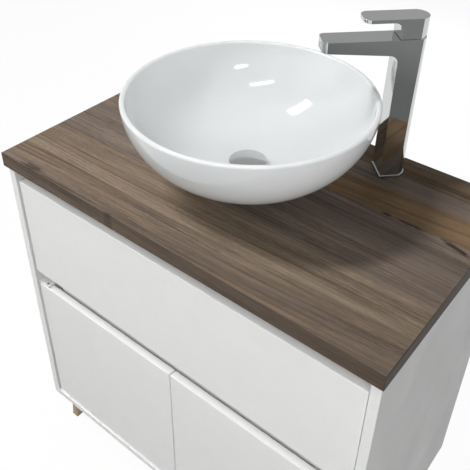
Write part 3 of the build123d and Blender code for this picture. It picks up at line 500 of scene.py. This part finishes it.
def knots(tree, spot, position):
    """Mask of the knots and cracks of the worktop, with ragged edges."""
    ragged = noise(tree, stretched(tree, position, KNOT_GRAIN), 1.0, detail=4)
    ragged = ranged(tree, ragged, *KNOT_RAGGED)
    mark = 0.0
    for x, y, half_length, half_width, slope, depth in KNOTS:
        along = reckon(tree, "SUBTRACT", spot["X"], x)
        across = reckon(tree, "SUBTRACT", spot["Y"], y)
        across = reckon(tree, "SUBTRACT", across, times(tree, along, slope))
        reach = reckon(tree, "POWER", reckon(tree, "DIVIDE", along, half_length), 2)
        side = reckon(tree, "POWER", reckon(tree, "DIVIDE", across, half_width), 2)
        away = reckon(tree, "ADD", reckon(tree, "ADD", reach, side), ragged)
        mark = reckon(tree, "MAXIMUM", mark, ranged(tree, away, *KNOT_FADE, depth, 0.0))
    return mark


def oak_finish(colours):
    """Oiled oak with the grain along Z."""
    material, tree, shader, position = new_material("leg oak")
    spot = parts(tree, position)
    upright = joined(tree, X=spot["Z"], Y=spot["X"], Z=spot["Y"])
    grain = in_group(tree, wood_grain, upright, {"Figure": 2.2, "Fineness": 1.3})
    wood = mixed(tree, grain["Figure"], colours.oak_dark, colours.oak_light)
    lines = ranged(tree, grain["Lines"], 0, 1, *OAK_LINES)
    wood = mixed(tree, 1.0, wood, lines, "MULTIPLY")
    wood = mixed(tree, times(tree, grain["Pores"], OAK_PORES), wood, colours.oak_dark)
    # Rounded edges lighter in spots: wear and a painted highlight
    wear_and_highlight = in_group(tree, edge_wear, position)["Wear"]
    wood = mixed(tree, times(tree, wear_and_highlight, OAK_WEAR_AND_HIGHLIGHT), wood, colours.oak_light)
    rough = ranged(tree, grain["Lines"], 0, 1, *OAK_ROUGHNESS)
    feed(tree, shader, wood, rough, grain["Lines"], OAK_RELIEF)
    return material


def glaze_finish(colours):
    """White glaze with a slight wave, and a raw ring where the basin stood in the kiln."""
    material, tree, shader, position = new_material("basin glaze")
    values = {"Smudges per metre": 7.0, "Grains per metre": 60.0}
    marks = in_group(tree, surface_marks, position, values)
    height = parts(tree, position)["Z"]
    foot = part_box("basin")[0][2]
    raw = ranged(tree, height, foot + RAW_RING[0], foot + RAW_RING[1], 1.0, 0.0)
    darker = [part * (1 - GLAZE_MOTTLE) for part in colours.glaze]
    tint = mixed(tree, marks["Smudge"], darker, colours.glaze)
    tint = mixed(tree, raw, tint, colours.biscuit)
    gloss = ranged(tree, marks["Smudge"], 0, 1, *GLAZE_ROUGHNESS)
    rough = chosen(tree, raw, gloss, RAW_ROUGHNESS)
    feed(tree, shader, tint, rough, marks["Grain"], GLAZE_RELIEF)
    return material


def finishes(colours):
    """One finish for each slot of the record, and the coats of pivot brackets and drain cap."""
    steel = {"metallic": 1.0, "mottle": 0.12, "grains": 900.0, "depth": 3e-5}
    return {
        "white_board": finish(
            "white board", colours.board, (0.36, 0.46), 0, 0.03, 900.0, 2.5e-5, colours.board_edge
        ),
        "worktop_wood": walnut_finish(colours),
        "leg_wood": oak_finish(colours),
        "dowel_wood": finish("beech", colours.beech, (0.6, 0.75), 0, 0.2, 500.0, 8e-5),
        "zinc_steel": finish("zinc plate", colours.steel, (0.28, 0.42), **steel),
        "white_enamel": finish("white enamel", colours.board, (0.3, 0.42), 0, 0.04, 700.0, 2e-5),
        "nylon": finish("nylon", colours.nylon, (0.4, 0.5)),
        "catch_plastic": finish("catch plastic", colours.nylon, (0.34, 0.46)),
        "glazed_white": glaze_finish(colours),
        "sealing_rubber": finish("rubber", colours.rubber, (0.6, 0.75), 0, 0.3, 800.0, 5e-5),
        "chrome": finish("chrome", colours.chrome, (0.03, 0.075), 1.0, 0.05, 250.0, 1.5e-6),
        "satin_chrome": finish("satin chrome", colours.satin, (0.13, 0.19), 1.0, 0.05, 400.0, 2e-7),
        "brass": finish("brass", colours.brass, (0.22, 0.36), 1.0, 0.12, 1500.0, 2e-5),
        "pin_steel": finish("ground steel", colours.pin, (0.2, 0.32), **steel),
        "cartridge_plastic": finish("dark plastic", colours.cartridge, (0.35, 0.5)),
        "aerator_plastic": finish("aerator", colours.chrome, (0.1, 0.2), 1.0, 0.08, 600.0, 5e-6),
        "trap_plastic": finish("white plastic", colours.plastic, (0.2, 0.3), 0, 0.04, 700.0, 2e-5),
    }


FINISHES = {}


def finish_called(name):
    """Finish by its name. All are made when the first is asked for."""
    if not FINISHES:
        FINISHES.update(finishes(bpy.context.scene.vanity_colours))
    return FINISHES[name]


def material_of(node):
    """Finish of a node's slot."""
    return finish_called(SLOT_OF[node])


def shown(name, data):
    """New object in the scene, at the origin."""
    piece = bpy.data.objects.new(name, data)
    bpy.context.scene.collection.objects.link(piece)
    return piece


def smoothed(piece):
    """Smooth shading between the sharp edges."""
    piece.data.shade_smooth()
    piece.data.set_sharp_from_angle(angle=SHARP_ANGLE)
    normals = piece.modifiers.new("Even normals", "WEIGHTED_NORMAL")
    normals.keep_sharp = True


def stands_for(piece, node):
    """The piece replaces a CAD node and moves with its body."""
    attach(piece, BODY_OF[node])
    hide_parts(node)


def dressed(node, rounding=0.0, shortest=0.0, coat=None, banded=False):
    """Finished copy of a CAD node, with its faces merged and its sharp edges rounded.

    A banded piece is an upright board whose narrow edges have their own band.
    """
    mesh = frame["nodes"][node].data.copy()
    mesh.name = node + ".finish"
    for name in ("custom_normal", "sharp_edge", "sharp_face"):
        if name in mesh.attributes:
            mesh.attributes.remove(mesh.attributes[name])
    shape = bmesh.new()
    shape.from_mesh(mesh)
    bmesh.ops.remove_doubles(shape, verts=shape.verts[:], dist=MERGE_DISTANCE)
    bmesh.ops.dissolve_limit(
        shape, angle_limit=FLAT_ANGLE, verts=shape.verts[:], edges=shape.edges[:]
    )
    if banded:
        # The band marks the narrow faces, which the white finish paints lighter: edge band and
        # painted highlight
        bands = shape.faces.layers.float.new("band")
        for face in shape.faces:
            face[bands] = float(abs(face.normal.y) < BROAD_FACE)
    # Marks the rounded faces, which the finishes paint lighter in spots: wear and a painted
    # highlight
    rounded_faces = shape.faces.layers.float.new("edge")
    if rounding:
        corners = [
            edge
            for edge in shape.edges
            if edge.is_manifold
            and edge.calc_length() > shortest
            and edge.calc_face_angle() > SHARP_ANGLE
        ]
        made = bmesh.ops.bevel(
            shape,
            geom=corners,
            offset=rounding,
            offset_type="OFFSET",
            segments=ROUND_STEPS,
            profile=0.5,
            affect="EDGES",
            clamp_overlap=True,
        )
        for face in made["faces"]:
            face[rounded_faces] = 1.0
    shape.to_mesh(mesh)
    shape.free()
    mesh.materials.clear()
    mesh.materials.append(coat or material_of(node))
    piece = shown(node + ".finish", mesh)
    smoothed(piece)
    stands_for(piece, node)


def geometry_tree(name, sizes):
    """Geometry node tree with a geometry input and output, named sizes and a material."""
    inputs = {"Geometry": "Geometry", **sizes, "Material": "Material"}
    return node_group(name, "GeometryNodeTree", inputs, {"Geometry": "Geometry"})


def close_tree(tree, source, geometry):
    """Ends a geometry tree in real faces with a material."""
    solid = out(tree, "GeometryNodeRealizeInstances", {0: geometry})
    keys = {"Geometry": solid, "Material": source["Material"]}
    place(tree, "NodeGroupOutput", {0: out(tree, "GeometryNodeSetMaterial", keys)})


def grown(name, base, tree, sizes):
    """Plain mesh object that a geometry tree grows from a base mesh."""
    piece = shown(name, base)
    modifier = piece.modifiers.new(tree.name, "NODES")
    modifier.node_group = tree
    for socket in tree.interface.items_tree:
        if socket.in_out == "INPUT" and socket.name in sizes:
            modifier[socket.identifier] = sizes[socket.name]
    live = piece.evaluated_get(bpy.context.evaluated_depsgraph_get())
    mesh = bpy.data.meshes.new_from_object(live)
    mesh.name = name
    piece.modifiers.clear()
    piece.data = mesh
    return piece


def turning_tree(name):
    """Turns a profile round the Z axis, with its corners rounded."""
    tree, source = geometry_tree(name, {"Steps round": 64, "Steps in a round": 6})
    line = out(tree, "GeometryNodeMeshToCurve", {0: source["Geometry"]})
    radius = out(tree, "GeometryNodeInputNamedAttribute", {0: "rounding"}, data_type="FLOAT")
    keys = {"Curve": line, "Count": source["Steps in a round"], "Radius": radius}
    profile = out(tree, "GeometryNodeFilletCurve", keys, mode="POLY")
    keys = {"Resolution": source["Steps round"], "Radius": AXIS_GAP}
    circle = out(tree, "GeometryNodeCurvePrimitiveCircle", keys)
    path = out(tree, "GeometryNodeSetCurveNormal", {0: circle}, mode="Z_UP")
    keys = {"Curve": path, "Profile Curve": profile}
    skin = out(tree, "GeometryNodeCurveToMesh", keys)
    keys = {"Geometry": skin, "Distance": 2 * AXIS_GAP}
    close_tree(tree, source, out(tree, "GeometryNodeMergeByDistance", keys))
    return tree


def turned(name, points, ring, steps, material):
    """Turned piece. Each point of the profile has a radius, a height and a rounding."""
    base = bpy.data.meshes.new(name)
    spots = [(radius - AXIS_GAP, -height, 0) for radius, height, rounding in points]
    edges = [(index, index + 1) for index in range(len(points) - 1)]
    if ring:
        edges.append((len(points) - 1, 0))
    base.from_pydata(spots, edges, [])
    rounds = base.attributes.new("rounding", "FLOAT", "POINT")
    rounds.data.foreach_set("value", [rounding for radius, height, rounding in points])
    sizes = {"Steps round": steps, "Steps in a round": 2 * ROUND_STEPS, "Material": material}
    piece = grown(name, base, shared(turning_tree), sizes)
    shape = bmesh.new()
    shape.from_mesh(piece.data)
    bmesh.ops.recalc_face_normals(shape, faces=shape.faces[:])
    shape.to_mesh(piece.data)
    shape.free()
    smoothed(piece)
    return piece


def ellipse(radius, depth, top, stop):
    """Profile points down an elliptical bowl, from just under its rim in to a smaller radius."""
    first, last = math.asin(RIM_RUN / depth), math.acos(stop / radius)
    points = []
    for index in range(BOWL_STEPS + 1):
        angle = first + (last - first) * index / BOWL_STEPS
        points.append((radius * math.cos(angle), top - depth * math.sin(angle), 0.0))
    return points


def screw_tree(name):
    """Cross-head screws, one on each point, turned to the way that the point faces."""
    tree, source = geometry_tree(name, {"Head": 0.0068, "Height": 0.0013})
    head, height = source["Head"], source["Height"]
    half, crown, slot = (times(tree, head, share) for share in (0.5, SCREW_CROWN, SCREW_SLOT))
    keys = {"Vertices": SCREW_SIDES, "Radius Top": crown, "Radius Bottom": half, "Depth": height}
    blank = place(tree, "GeometryNodeMeshCone", keys).outputs["Mesh"]
    screw = place(tree, "GeometryNodeMeshBoolean", {0: blank}, operation="DIFFERENCE")
    lift = joined(tree, Z=times(tree, height, SCREW_SLOT_LIFT))
    for long, wide in ((half, slot), (slot, half)):
        size = joined(tree, X=long, Y=wide, Z=height)
        bar = place(tree, "GeometryNodeMeshCube", {"Size": size}).outputs["Mesh"]
        raised = out(tree, "GeometryNodeTransform", {0: bar, "Translation": lift})
        tree.links.new(raised, screw.inputs["Mesh 2"])
    keys = {0: "facing"}
    facing = out(tree, "GeometryNodeInputNamedAttribute", keys, data_type="FLOAT_VECTOR")
    turn = out(tree, "FunctionNodeAlignRotationToVector", {"Vector": facing}, axis="Z")
    keys = {"Points": source["Geometry"], "Instance": screw.outputs["Mesh"], "Rotation": turn}
    close_tree(tree, source, out(tree, "GeometryNodeInstanceOnPoints", keys))
    return tree


def screws(name, spots, body):
    """Screw heads of one body. Each spot has a place and the way that its head faces."""
    sizes = bpy.context.scene.vanity_sizes
    base = bpy.data.meshes.new(name)
    base.from_pydata([where for where, way in spots], [], [])
    facing = base.attributes.new("facing", "FLOAT_VECTOR", "POINT")
    facing.data.foreach_set("vector", [part for where, way in spots for part in way])
    values = {"Head": sizes.screw_head, "Height": sizes.screw_height}
    values["Material"] = material_of("pivot_brackets")
    piece = grown(name, base, shared(screw_tree), values)
    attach(piece, body)


def cell_tree(name):
    """Six-sided cells, one on each point."""
    tree, source = geometry_tree(name, {"Radius": 0.001, "Wall": 0.0002, "Depth": 0.0012})
    keys = {"Resolution": CELL_SIDES, "Radius": source["Radius"]}
    path = out(tree, "GeometryNodeCurvePrimitiveCircle", keys)
    keys = {"Width": source["Wall"], "Height": source["Depth"]}
    wall = out(tree, "GeometryNodeCurvePrimitiveQuadrilateral", keys)
    keys = {"Curve": path, "Profile Curve": wall}
    cell = out(tree, "GeometryNodeCurveToMesh", keys)
    keys = {"Points": source["Geometry"], "Instance": cell}
    close_tree(tree, source, out(tree, "GeometryNodeInstanceOnPoints", keys))
    return tree


class VANITY_OT_boards(bpy.types.Operator):
    """Finishes the white boards of carcass, drawer and doors"""

    bl_idname = "vanity.boards"
    bl_label = "White boards"

    def execute(self, context):
        rounding = context.scene.vanity_sizes.board_round
        for node, slot in SLOT_OF.items():
            if slot == "white_board":
                dressed(node, rounding, BOARD_SHORTEST * rounding, banded=node in FRONTS)
        return {"FINISHED"}


class VANITY_OT_worktop(bpy.types.Operator):
    """Finishes the wooden worktop"""

    bl_idname = "vanity.worktop"
    bl_label = "Worktop"

    def execute(self, context):
        dressed("worktop", context.scene.vanity_sizes.worktop_round, WORKTOP_SHORTEST)
        return {"FINISHED"}


class VANITY_OT_legs(bpy.types.Operator):
    """Finishes the splayed legs with their plates and glides"""

    bl_idname = "vanity.legs"
    bl_label = "Legs"

    def execute(self, context):
        sizes = context.scene.vanity_sizes
        for node, slot in SLOT_OF.items():
            if slot == "leg_wood":
                dressed(node, sizes.leg_round, LEG_SHORTEST)
        dressed("leg_plates", sizes.metal_round, LEG_SHORTEST)
        dressed("leg_glides")
        return {"FINISHED"}


class VANITY_OT_basin(bpy.types.Operator):
    """Turns the round basin and finishes its seal"""

    bl_idname = "vanity.basin"
    bl_label = "Basin"

    def execute(self, context):
        sizes = context.scene.vanity_sizes
        dressed("basin_seal")
        low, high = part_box("basin")
        radius, base, top = high[0], low[2], high[2]
        inner = radius - sizes.basin_rim
        foot, ring = sizes.foot_radius, sizes.foot_radius - sizes.foot_ring
        recess = base + sizes.foot_recess
        seat_z = base + sizes.basin_floor - sizes.seat_depth
        belly = ellipse(radius, top - base - sizes.belly_lift, top, foot + sizes.foot_flare)
        bowl = ellipse(inner, top - base - sizes.basin_floor, top, sizes.seat_radius)
        profile = [
            (radius, top, sizes.rim_round),
            *belly,
            (foot, base, sizes.small_round),
            (ring, base, sizes.small_round),
            (ring, recess, 0.0),
            (sizes.drain_radius, recess, 0.0),
            (sizes.drain_radius, seat_z, sizes.small_round),
            (sizes.seat_radius, seat_z, 0.0),
            *reversed(bowl),
            (inner, top, sizes.rim_round),
        ]
        basin = turned("basin.finish", profile, True, sizes.basin_steps, material_of("basin"))
        stands_for(basin, "basin")
        return {"FINISHED"}


class VANITY_OT_drain(bpy.types.Operator):
    """Finishes the drain and the trap below, and turns the press cap"""

    bl_idname = "vanity.drain"
    bl_label = "Drain and trap"

    def execute(self, context):
        sizes = context.scene.vanity_sizes
        lower = [node for node in BODY_OF if node.startswith("trap_") or node == "cap_stem"]
        for node in ("drain_body", "drain_flange_seal", "drain_washer", "drain_nut", *lower):
            dressed(node, sizes.metal_round, DRAIN_SHORTEST)
        low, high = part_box("drain_cap")
        radius, base, top = high[0], low[2], high[2]
        crown = top - base - sizes.cap_edge
        bend = (radius**2 + crown**2) / (2 * crown)
        profile = []
        for index in range(CAP_STEPS):
            away = radius * index / CAP_STEPS
            profile.append((away, top - bend + math.sqrt(bend**2 - away**2), 0.0))
        edge = sizes.small_round
        profile += [(radius, base + sizes.cap_edge, edge), (radius, base, edge), (0.0, base, 0.0)]
        satin = finish_called("satin_chrome")
        cap = turned("drain_cap.finish", profile, False, sizes.cap_steps, satin)
        stands_for(cap, "drain_cap")
        return {"FINISHED"}


class VANITY_OT_tap(bpy.types.Operator):
    """Finishes the tap with its lever, its aerator and its fixing under the worktop"""

    bl_idname = "vanity.tap"
    bl_label = "Tap"

    def execute(self, context):
        sizes = context.scene.vanity_sizes
        for node in ("tap_body", "lever"):
            dressed(node, sizes.tap_round)
        for node in BODY_OF:
            if node.startswith(("tap_", "lever_", "cartridge_", "aerator")) and node != "tap_body":
                dressed(node)
        self.aerator(sizes)
        return {"FINISHED"}

    def aerator(self, sizes):
        """Cells in the mouth of the aerator."""
        low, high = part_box("aerator")
        middle = (Vector(low) + Vector(high)) / 2
        height = low[2] + sizes.cell_depth
        pitch = sizes.cell_pitch
        spots = []
        for row in range(-AERATOR_ROWS, AERATOR_ROWS + 1):
            cells = 2 * AERATOR_ROWS + 1 - abs(row)
            for cell in range(cells):
                x = (cell - (cells - 1) / 2) * pitch
                spots.append((middle.x + x, middle.y + row * pitch * math.sqrt(3) / 2, height))
        base = bpy.data.meshes.new("aerator.cells")
        base.from_pydata(spots, [], [])
        values = {"Radius": pitch / math.sqrt(3), "Wall": CELL_WALL * pitch}
        values |= {"Depth": sizes.cell_depth, "Material": material_of("tap_cartridge")}
        piece = grown("aerator.cells", base, shared(cell_tree), values)
        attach(piece, BODY_OF["aerator"])


class VANITY_OT_hardware(bpy.types.Operator):
    """Finishes hinges, catch, runners, dowels and shelf pins, and adds the channel and screws"""

    bl_idname = "vanity.hardware"
    bl_label = "Hardware"

    def execute(self, context):
        sizes = context.scene.vanity_sizes
        for node in BODY_OF:
            if node.startswith(("pivot_pins", "runner_", "door_bushes", "door_strike")):
                dressed(node)
        dressed("pivot_brackets", coat=finish_called("white_enamel"))
        self.gap_profile(sizes)
        for node in ("door_catch", "carcass_dowels", "shelf_pins"):
            dressed(node)
        spots = self.leg_spots(sizes) + self.hinge_spots(sizes)
        screws("fixing.screws", spots, BODY_OF["leg_plates"])
        return {"FINISHED"}

    def gap_profile(self, sizes):
        """White channel on the middle rail that closes the finger gap behind the doors' tops."""
        rail_low, rail_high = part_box("mid_rail")
        door_low, door_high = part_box("door_left")
        wall, half = sizes.channel_wall, -door_low[0] - sizes.channel_short
        front, back = door_high[1] + sizes.channel_gap, rail_low[1]
        foot, lip = rail_low[2] + wall, door_high[2]
        crest = rail_high[2] - CHANNEL_DROP * wall
        outline = (
            (front, lip),
            (front, foot),
            (back, foot),
            (back, crest),
            (back - wall, crest),
            (back - wall, foot + wall),
            (front + wall, foot + wall),
            (front + wall, lip),
        )
        shape = bmesh.new()
        face = shape.faces.new([shape.verts.new((-half, y, z)) for y, z in outline])
        pulled = bmesh.ops.extrude_face_region(shape, geom=[face])["geom"]
        far = [item for item in pulled if isinstance(item, bmesh.types.BMVert)]
        bmesh.ops.translate(shape, verts=far, vec=(2 * half, 0, 0))
        bmesh.ops.recalc_face_normals(shape, faces=shape.faces[:])
        mesh = bpy.data.meshes.new("gap.profile")
        shape.to_mesh(mesh)
        shape.free()
        mesh.materials.append(material_of("door_catch"))
        piece = shown("gap.profile", mesh)
        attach(piece, BODY_OF["mid_rail"])

    def leg_spots(self, sizes):
        """Four screws at the corners of each leg plate, seen from below."""
        low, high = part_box("leg_plates")
        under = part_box("bottom_panel")[0][2] - sizes.leg_plate_thickness
        plate, inset = sizes.leg_plate, sizes.leg_screw_inset
        insets = (inset, plate - inset)
        return [
            ((x + along, y + across, under), (0, 0, -1))
            for x in (low[0], high[0] - plate)
            for y in (low[1], high[1] - plate)
            for along in insets
            for across in insets
        ]

    def hinge_spots(self, sizes):
        """Two screws in the leaf of each pivot bracket."""
        low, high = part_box("pivot_brackets")
        leaf, middle = sizes.hinge_leaf, sizes.hinge_height / 2
        y, spread = high[1] - sizes.hinge_screw_inset, sizes.hinge_screw_spread
        return [
            ((x, y, z + lift), (way, 0, 0))
            for way, x in ((1, low[0] + leaf), (-1, high[0] - leaf))
            for z in (low[2] + middle, high[2] - middle)
            for lift in (-spread, spread)
        ]


# Lamps: name, direction from the worktop, direction of the long side, long and short side, power,
# whether metal and glaze mirror the lamp, and the group of pieces that it lights
LAMPS = (
    ("key lamp", (-0.474, -0.324, 0.819), (0.47, 0.69, 0.55), (0.94, 0.33), 40, True, "all"),
    ("front lamp", (0.21, -0.578, 0.788), (0.69, 0.66, 0.3), (1.12, 0.26), 10, True, "not worktop"),
    ("right lamp", (0.648, -0.617, 0.446), (0.58, 0.78, 0.24), (0.67, 0.26), 10, True, "all"),
    ("high fill", (-0.30, -0.68, 0.669), (0.91, -0.41, 0.0), (2.0, 1.0), 19, False, "not basin"),
    ("right fill", (0.42, -0.76, 0.50), (0.88, 0.48, 0.0), (2.0, 1.0), 14, False, "neither"),
    ("left fill", (-0.836, -0.483, 0.259), (0.5, -0.86, 0.0), (2.0, 1.0), 23, False, "not basin"),
    ("low fill", (0.40, -0.91, 0.09), (0.91, 0.40, 0.0), (2.4, 1.0), 20, False, "not basin"),
    ("ceiling", (0.1, 0.0, 1.0), (1.0, 0.0, 0.0), (2.0, 2.0), 10, False, "neither"),
    ("back fill", (-0.25, 0.96, 0.12), (0.96, 0.25, 0.0), (2.4, 1.0), 52, False, "all"),
    ("top key", (-0.474, -0.324, 0.819), (0.47, 0.69, 0.55), (0.94, 0.33), 31, False, "worktop"),
    ("edge fill", (0.42, -0.90, 0.05), (0.90, 0.42, 0.0), (2.4, 1.0), 16, False, "worktop"),
    ("bowl top", (0.0, 0.0, 1.0), (1.0, 0.0, 0.0), (2.0, 2.0), 30, False, "basin"),
    ("bowl left", (-0.836, -0.483, 0.259), (0.5, -0.86, 0.0), (2.0, 1.0), 25, False, "basin"),
    ("bowl front", (0.571, -0.816, 0.087), (0.82, 0.57, 0.0), (2.0, 1.0), 35, False, "basin"),
    ("bowl right", (0.94, 0.0, 0.342), (0.0, 1.0, 0.0), (2.0, 1.0), 18, False, "basin"),
)
LAMP_DISTANCE = 3.0
LAMP_TARGET = (0.0, 0.0, 0.8)  # middle of the worktop

# Groups for lamps: whether a lamp lights these pieces alone or passes them by, and the pieces
LAMP_GROUPS = {
    "basin": ("INCLUDE", ("basin.finish",)),
    "worktop": ("INCLUDE", ("worktop.finish",)),
    "not basin": ("EXCLUDE", ("basin.finish",)),
    "not worktop": ("EXCLUDE", ("worktop.finish",)),
    "neither": ("EXCLUDE", ("basin.finish", "worktop.finish")),
}

FLOOR_HALF = 9.0  # half the side of the floor
FLOOR_TINTS = (0.16, 0.85)  # tint for light that bounces off the floor, and for the camera
FLOOR_GLOW = 0.95  # share of the floor's own white to the camera
CARD_X = 1.2
CARD_Y = (-1.3, 0.1)
CARD_TOP = 0.75
CARD_FADE = (0.46, 0.60, 0.19, 0.29)  # heights between which the card gets lighter, its levels
ROOM_FADE = (0.08, 0.42, 0.72, 0.44)  # upward looks between which the room darkens, its levels
ROOM_LIGHT = 0.10  # light that the room gives to the pieces
CAMERA_PLACE = (0.5932, -0.7936, 1.4993)
CAMERA_TURN = (39.69, 34.53)  # degrees to the right of the front, and up
CAMERA_LENS = 52.37  # millimetres
CAMERA_SENSOR = 36.0
CAMERA_SHIFT = (0.0339, -0.144)


def lamp_group(kind):
    """Group that tells a lamp which pieces to light or to pass by."""
    name = f"{kind} by lamps"
    group = bpy.data.collections.get(name)
    if group is None:
        group = bpy.data.collections.new(name)
        state, pieces = LAMP_GROUPS[kind]
        for piece in pieces:
            group.objects.link(bpy.data.objects[piece])
        for member in group.collection_objects:
            member.light_linking.link_state = state
    return group


def strip_lamp(name, toward, axis, size, power, mirrored, lights):
    """Rectangular lamp that points at the worktop."""
    light = bpy.data.lights.new(name, "AREA")
    light.shape = "RECTANGLE"
    light.size, light.size_y = size
    light.energy = power
    lamp = shown(name, light)
    toward = Vector(toward).normalized()
    across = toward.cross(Vector(axis)).normalized()
    lamp.location = Vector(LAMP_TARGET) + LAMP_DISTANCE * toward
    lamp.rotation_mode = "QUATERNION"
    turn = Matrix((across.cross(toward), across, toward)).transposed()
    lamp.rotation_quaternion = turn.to_quaternion()
    lamp.visible_glossy = mirrored
    if lights != "all":
        lamp.light_linking.receiver_collection = lamp_group(lights)


def seen_rays(rays):
    """One for rays from the camera and for those that metal and glass pass on."""
    tree = rays.id_data
    camera, glossy, passed = (
        rays.outputs[f"Is {kind} Ray"] for kind in ("Camera", "Glossy", "Transmission")
    )
    return reckon(tree, "MAXIMUM", reckon(tree, "MAXIMUM", camera, glossy), passed)


class VANITY_OT_stage(bpy.types.Operator):
    """Sets the floor, lamps, surroundings and camera"""

    bl_idname = "vanity.stage"
    bl_label = "Stage"

    def execute(self, context):
        scene = context.scene
        scene.view_settings.view_transform = "Standard"
        self.floor()
        self.card()
        self.surroundings(scene)
        self.camera(scene)
        for lamp in LAMPS:
            strip_lamp(*lamp)
        return {"FINISHED"}

    def floor(self):
        """Pale floor that is white to the camera and keeps a soft shadow."""
        half = FLOOR_HALF
        corners = [(-half, -half, 0), (half, -half, 0), (half, half, 0), (-half, half, 0)]
        material = bpy.data.materials.new("pale floor")
        tree = cleared(material)
        seen = seen_rays(place(tree, "ShaderNodeLightPath"))
        tint = chosen(tree, seen, *FLOOR_TINTS)
        dull = out(tree, "ShaderNodeBsdfDiffuse", {"Color": tint})
        glow = out(tree, "ShaderNodeEmission", {"Strength": 1.0})
        share = times(tree, seen, FLOOR_GLOW)
        both = out(tree, "ShaderNodeMixShader", {0: share, 1: dull, 2: glow})
        place(tree, "ShaderNodeOutputMaterial", {"Surface": both})
        self.sheet("floor", corners, material)

    def card(self):
        """Grey card at the right, lighter at its top, which only the chrome shows."""
        x, top, (front, back) = CARD_X, CARD_TOP, CARD_Y
        corners = [(x, front, 0), (x, back, 0), (x, back, top), (x, front, top)]
        material = bpy.data.materials.new("grey card")
        tree = cleared(material)
        spot = place(tree, "ShaderNodeTexCoord").outputs["Object"]
        height = parts(tree, spot)["Z"]
        strength = ranged(tree, height, *CARD_FADE)
        glow = out(tree, "ShaderNodeEmission", {"Strength": strength})
        place(tree, "ShaderNodeOutputMaterial", {"Surface": glow})
        card = self.sheet("card", corners, material)
        card.visible_camera = card.visible_diffuse = card.visible_shadow = False

    def sheet(self, name, corners, material):
        """Flat sheet of the stage."""
        mesh = bpy.data.meshes.new(name)
        mesh.from_pydata(corners, [], [(0, 1, 2, 3)])
        mesh.materials.append(material)
        piece = shown(name, mesh)
        return piece

    def surroundings(self, scene):
        """White room that gives the pieces a little light and is greyer overhead in the chrome."""
        world = bpy.data.worlds.new("studio")
        scene.world = world
        tree = cleared(world)
        rays = place(tree, "ShaderNodeLightPath")
        way = place(tree, "ShaderNodeTexCoord").outputs["Generated"]
        upward = parts(tree, way)["Z"]
        room = ranged(tree, upward, *ROOM_FADE)
        room = chosen(tree, rays.outputs["Is Glossy Ray"], 1.0, room)
        strength = chosen(tree, seen_rays(rays), ROOM_LIGHT, room)
        keys = {"Color": opaque((1, 1, 1)), "Strength": strength}
        sky = out(tree, "ShaderNodeBackground", keys)
        place(tree, "ShaderNodeOutputWorld", {"Surface": sky})

    def camera(self, scene):
        """Camera before the right-hand front corner, looking down on the worktop."""
        data = bpy.data.cameras.new("camera")
        data.sensor_width, data.lens = CAMERA_SENSOR, CAMERA_LENS
        data.shift_x, data.shift_y = CAMERA_SHIFT
        camera = shown("camera", data)
        azimuth, elevation = (math.radians(angle) for angle in CAMERA_TURN)
        level = math.cos(elevation)
        back = Vector((math.sin(azimuth) * level, -math.cos(azimuth) * level, math.sin(elevation)))
        camera.location = CAMERA_PLACE
        camera.rotation_mode = "QUATERNION"
        camera.rotation_quaternion = (-back).to_track_quat("-Z", "Y")
        scene.camera = camera


OPERATORS = (
    VANITY_OT_boards,
    VANITY_OT_worktop,
    VANITY_OT_legs,
    VANITY_OT_basin,
    VANITY_OT_drain,
    VANITY_OT_tap,
    VANITY_OT_hardware,
    VANITY_OT_stage,
)


class VANITY_PT_panel(bpy.types.Panel):
    """Lists the pieces with their sizes and colours"""

    bl_label = "Vanity"
    bl_idname = "VANITY_PT_panel"
    bl_space_type = "VIEW_3D"
    bl_region_type = "UI"
    bl_category = "Vanity"

    def draw(self, context):
        for operator in OPERATORS:
            self.layout.operator(operator.bl_idname)
        for group in (context.scene.vanity_sizes, context.scene.vanity_colours):
            box = self.layout.box()
            for name in type(group).__annotations__:
                box.prop(group, name)


CLASSES = (VanityColours, VanitySizes, *OPERATORS, VANITY_PT_panel)


def register():
    for item in CLASSES:
        bpy.utils.register_class(item)
    bpy.types.Scene.vanity_colours = PointerProperty(type=VanityColours)
    bpy.types.Scene.vanity_sizes = PointerProperty(type=VanitySizes)


def unregister():
    del bpy.types.Scene.vanity_sizes
    del bpy.types.Scene.vanity_colours
    for item in reversed(CLASSES):
        bpy.utils.unregister_class(item)


def main():
    register()
    bpy.ops.vanity.boards()
    bpy.ops.vanity.worktop()
    bpy.ops.vanity.legs()
    bpy.ops.vanity.basin()
    bpy.ops.vanity.drain()
    bpy.ops.vanity.tap()
    bpy.ops.vanity.hardware()
    bpy.ops.vanity.stage()


if __name__ == "__main__":
    main()
